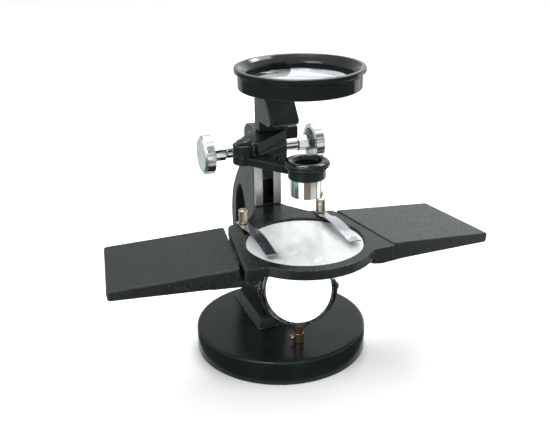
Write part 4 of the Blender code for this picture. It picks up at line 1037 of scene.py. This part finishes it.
def mirror_group():
    swivel = joint_at("mirror_swivel")
    axis = Vector(joints["mirror_tilt"]["axis"])
    yaw = math.atan2(axis.y, axis.x)
    holder = Matrix.Translation(swivel) @ Matrix.Rotation(yaw, 4, "Z")
    tilted = holder @ Matrix.Rotation(MIRROR_TILT, 4, "X")

    low, high = extent("mirror_socket")
    seat = extent("base_casting")[1].z + GAP
    collar_r, socket_r = COLLAR_R
    outline = filleted([(STEM_BORE, low.z, 0), (NECK_R, low.z, 0), (NECK_R, seat, 0), (socket_r, seat, 0.2),
                        (socket_r, high.z, 0.5), (STEM_BORE, high.z, 0.2)], 4)
    socket = raw(turned(outline, 64, (swivel.x, swivel.y, 0.0)))
    screw_low, screw_high = extent("mirror_set_screw")
    set_at = (swivel.y, ((screw_low + screw_high) / 2).z)
    cut(socket, rod(SET_SCREW_BORE, -socket_r - PAST, -1.0, set_at, "X"))
    show("mirror_socket", socket, PIN_BRASS)
    slotted("mirror_set_screw", BRASS, SET_SCREW, (-socket_r - 0.4, screw_low.x), screw_high.x, set_at,
            "X", 0.7)

    outline = arc((0.0, 0.0), FORK_OUT, 180, 360, 72) + [(FORK_OUT, FORK_EAR), (FORK_IN, FORK_EAR)]
    outline += arc((0.0, 0.0), FORK_IN, 360, 180, 72) + [(-FORK_IN, FORK_EAR), (-FORK_OUT, FORK_EAR)]
    fork = rounded(raw(prism(outline, -FORK_HALF, FORK_HALF, "Y")), 0.4, 3, 50.0)
    cut(fork, rod(MIRROR_PIN_BORE, -FORK_OUT - PAST, FORK_OUT + PAST, (0.0, 0.0), "X"),
        rod(STEM_BORE, -FORK_OUT - PAST, -FORK_IN + PAST))
    fork.data.transform(Matrix.Scale(MM, 4) @ holder @ Matrix.Scale(1 / MM, 4))
    show("mirror_fork", fork, GLOSS_ENAMEL)

    low, high = extent("mirror_pivot_pin")
    bottom = low.z - swivel.z
    collar = extent("mirror_socket")[1].z + GAP - swivel.z
    under, over = -FORK_OUT - GAP, -FORK_IN - 0.1
    pin = filleted([(0.0, bottom, 0), (STEM_R, bottom, 0), (STEM_R, collar, 0), (collar_r, collar, 0.4),
                    (collar_r, under, 0.6), (STEM_R, under, 0), (STEM_R, over, 0.2), (0.0, over, 0)], 4)
    pin = turned(pin, 64)
    pin.transform(holder)
    show("mirror_pivot_pin", pin, PIN_BRASS)

    rim_in = MIRROR_GLASS_R + GAP
    (back, front), (under, over) = FRAME_Z, WEB_Z
    rim = filleted([(0.0, under, 0), (rim_in, under, 0), (rim_in, back, 0.3), (MIRROR_FRAME_R, back, 0.4),
                    (MIRROR_FRAME_R, front, 0.4), (rim_in, front, 0.3), (rim_in, over, 0),
                    (0.0, over, 0)], 4)
    ring = raw(turned(rim, 128))
    for sign in SIDES.values():
        ends = sorted((sign * (rim_in + 0.05), sign * (MIRROR_FRAME_R + PAST)))
        cut(ring, rod(MIRROR_PIN_BORE, *ends, (0.0, 0.0), "X"))
    ring.data.transform(Matrix.Scale(MM, 4) @ tilted @ Matrix.Scale(1 / MM, 4))
    show("mirror_frame", ring, GLOSS_ENAMEL)
    for side, sign in SIDES.items():
        head = (sign * (FORK_OUT + GAP), sign * (FORK_OUT + 1.5))
        slotted(f"mirror_screw_{side}", BLACKED_STEEL, MIRROR_SCREW, head, sign * (rim_in + GAP),
                (0.0, 0.0), "X", 0.6, tilted)

    back, front = FLAT_Z
    flat = filleted([(0.0, back, 0), (MIRROR_GLASS_R, back, 0), (MIRROR_GLASS_R, front, 0.35),
                     (0.0, front, 0)], 4)
    glass = turned(flat, 128)
    glass.transform(tilted)
    show("mirror_flat", glass, SILVER)
    steps = 12
    rim, middle, back = DISH_Z
    dish = []
    for step in range(steps + 1):
        share = step / steps
        dish.append((MIRROR_GLASS_R * share, middle + (rim - middle) * share ** 2))
    dish += [(MIRROR_GLASS_R, back), (0.0, back)]
    glass = turned(dish, 128)
    glass.transform(tilted)
    show("mirror_concave", glass, SILVER)


# --------------------------------------------------------------- stage clips

def clip_profile():
    """The spring strip's side outline, from behind its post to its turned-up tip."""
    line = [*CLIP_ROOT, *smooth(CLIP_BOW, 8), *CLIP_TIP]
    low, high = [], []
    for i, (run, height) in enumerate(line):
        before, after = Vector(line[max(i - 1, 0)]), Vector(line[min(i + 1, len(line) - 1)])
        along = (after - before).normalized()
        across = Vector((along.y, -along.x)) * (CLIP_THICK / 2)
        low.append((run - across.x, height - across.y))
        high.append((run + across.x, height + across.y))
    return high + low[::-1]


def stage_clips():
    for side in SIDES:
        foot = joint_at(f"clip_{side}_swing")
        foot.z = extent("stage_plate")[1].z + GAP
        strip = prism(clip_profile(), -CLIP_HALF, CLIP_HALF, "X")
        strip.transform(Matrix.Translation(foot))
        strip = rounded(raw(strip), 0.18, 2, 50.0)
        cut(strip, rod(CLIP_BORE, foot.z - PAST, foot.z + PAST, foot.xy))
        show(f"clip_strip_{side}", strip, SPRING_STEEL)
        low, high = extent(f"clip_post_{side}")
        seat = foot.z + CLIP_THICK + GAP
        post = filleted([(0.0, low.z, 0), (POST_SHANK_R, low.z, 0.2), (POST_SHANK_R, seat, 0),
                         (POST_R, seat, 0.3), (POST_R, high.z, 0.9), (0.0, high.z, 0)], 5)
        show(f"clip_post_{side}", turned(post, 64, (foot.x, foot.y, 0.0)), BRASS)


# ------------------------------------------------------------ camera and light

def camera():
    data = bpy.data.cameras.new("camera")
    data.sensor_width = 36.0
    data.lens = CAMERA_LENS
    data.clip_start = 0.01
    made = bpy.data.objects.new("camera", data)
    bpy.context.scene.collection.objects.link(made)
    level = math.cos(CAMERA_PITCH)
    forward = Vector((math.sin(CAMERA_YAW) * level, math.cos(CAMERA_YAW) * level, -math.sin(CAMERA_PITCH)))
    right = Vector((math.cos(CAMERA_YAW), -math.sin(CAMERA_YAW), 0.0))
    up = right.cross(forward)
    rolled = right * math.cos(CAMERA_ROLL) + up * math.sin(CAMERA_ROLL)
    top = up * math.cos(CAMERA_ROLL) - right * math.sin(CAMERA_ROLL)
    turn = Matrix((rolled, top, -forward)).transposed().to_4x4()
    made.matrix_world = Matrix.Translation(CAMERA_AT) @ turn
    bpy.context.scene.camera = made


def softbox(name, at, aim, size, power, glossy):
    """A rectangular lamp aimed at a point, in metres and watts."""
    data = bpy.data.lights.new(name, "AREA")
    data.shape = "RECTANGLE"
    data.size, data.size_y = size
    data.energy = power
    made = bpy.data.objects.new(name, data)
    bpy.context.scene.collection.objects.link(made)
    made.location = at
    made.visible_glossy = glossy
    made.rotation_euler = (Vector(aim) - Vector(at)).to_track_quat("-Z", "Y").to_euler()


def room():
    """A pale room, brighter towards each lobe's direction and darker where a lobe is negative."""
    world = bpy.data.worlds.new("studio")
    world.use_nodes = True
    tree = world.node_tree
    around = tree.nodes.new("ShaderNodeTexCoord").outputs["Generated"]
    total = ROOM_LEVEL
    for direction, wide, narrow, level in ROOM_LOBES:
        dot = tree.nodes.new("ShaderNodeVectorMath")
        dot.operation = "DOT_PRODUCT"
        dot.inputs[1].default_value = Vector(direction).normalized()
        tree.links.new(around, dot.inputs[0])
        lobe = tree.nodes.new("ShaderNodeMapRange")
        lobe.interpolation_type = "SMOOTHSTEP"
        lobe.inputs["From Min"].default_value = math.cos(math.radians(wide))
        lobe.inputs["From Max"].default_value = math.cos(math.radians(narrow))
        lobe.inputs["To Max"].default_value = level
        tree.links.new(dot.outputs["Value"], lobe.inputs["Value"])
        both = tree.nodes.new("ShaderNodeMath")
        if isinstance(total, float):
            both.inputs[0].default_value = total
        else:
            tree.links.new(total, both.inputs[0])
        tree.links.new(lobe.outputs["Result"], both.inputs[1])
        total = both.outputs["Value"]
    tree.links.new(total, tree.nodes["Background"].inputs["Strength"])
    tree.nodes["Background"].inputs["Color"].default_value = (0.97, 0.99, 1.0, 1.0)
    return world


def card(name, mesh, shade):
    """A card that only reflections see: it sets what polished faces mirror."""
    made = raw(mesh, name)
    finish = Finish(f"{name}_paint")
    finish.colour(shade)
    finish.roughness(0.9)
    made.data.materials.append(finish.made)
    made.visible_camera = False
    made.visible_diffuse = False
    made.visible_shadow = False
    made.visible_transmission = False


def floor_card(name, angles, radii, low, shade):
    """A flat ring sector round the base; its angles run from the camera's side to the viewer's right."""
    start = -90.0 - math.degrees(CAMERA_YAW)
    outer = arc((0.0, 0.0), radii[1], start + angles[0], start + angles[1], 40)
    inner = arc((0.0, 0.0), radii[0], start + angles[1], start + angles[0], 40)
    card(name, prism(outer + inner, low, low + 0.3), shade)


def studio():
    scene = bpy.context.scene
    scene.view_settings.view_transform = "Standard"
    scene.world = room()
    floor = raw(block((-4000, -4000, -20), (4000, 4000, 0)), "floor")
    finish = Finish("floor_card")
    finish.colour(finish.mix(finish.noise(90.0, 4.0), (0.95, 0.95, 0.95), (0.97, 0.97, 0.97)))
    finish.roughness(finish.ramp(finish.noise(30.0, 3.0), 0.3, 0.7, 0.7, 0.85))
    floor.data.materials.append(finish.made)
    for sheet in FLOOR_CARDS:
        floor_card(*sheet)
    card("upper_card", block(*UPPER_CARD), (0.04, 0.04, 0.04))
    for light in SOFTBOXES:
        softbox(*light)


camera()
studio()
base_casting()
limb_casting()
slideways()
stage_plate()
stage_glass()
hand_rests()
carriage_block()
rack_and_pinion()
knobs()
lens_arm()
eyepiece()
magnifier_bracket()
magnifier_cell()
mirror_group()
stage_clips()
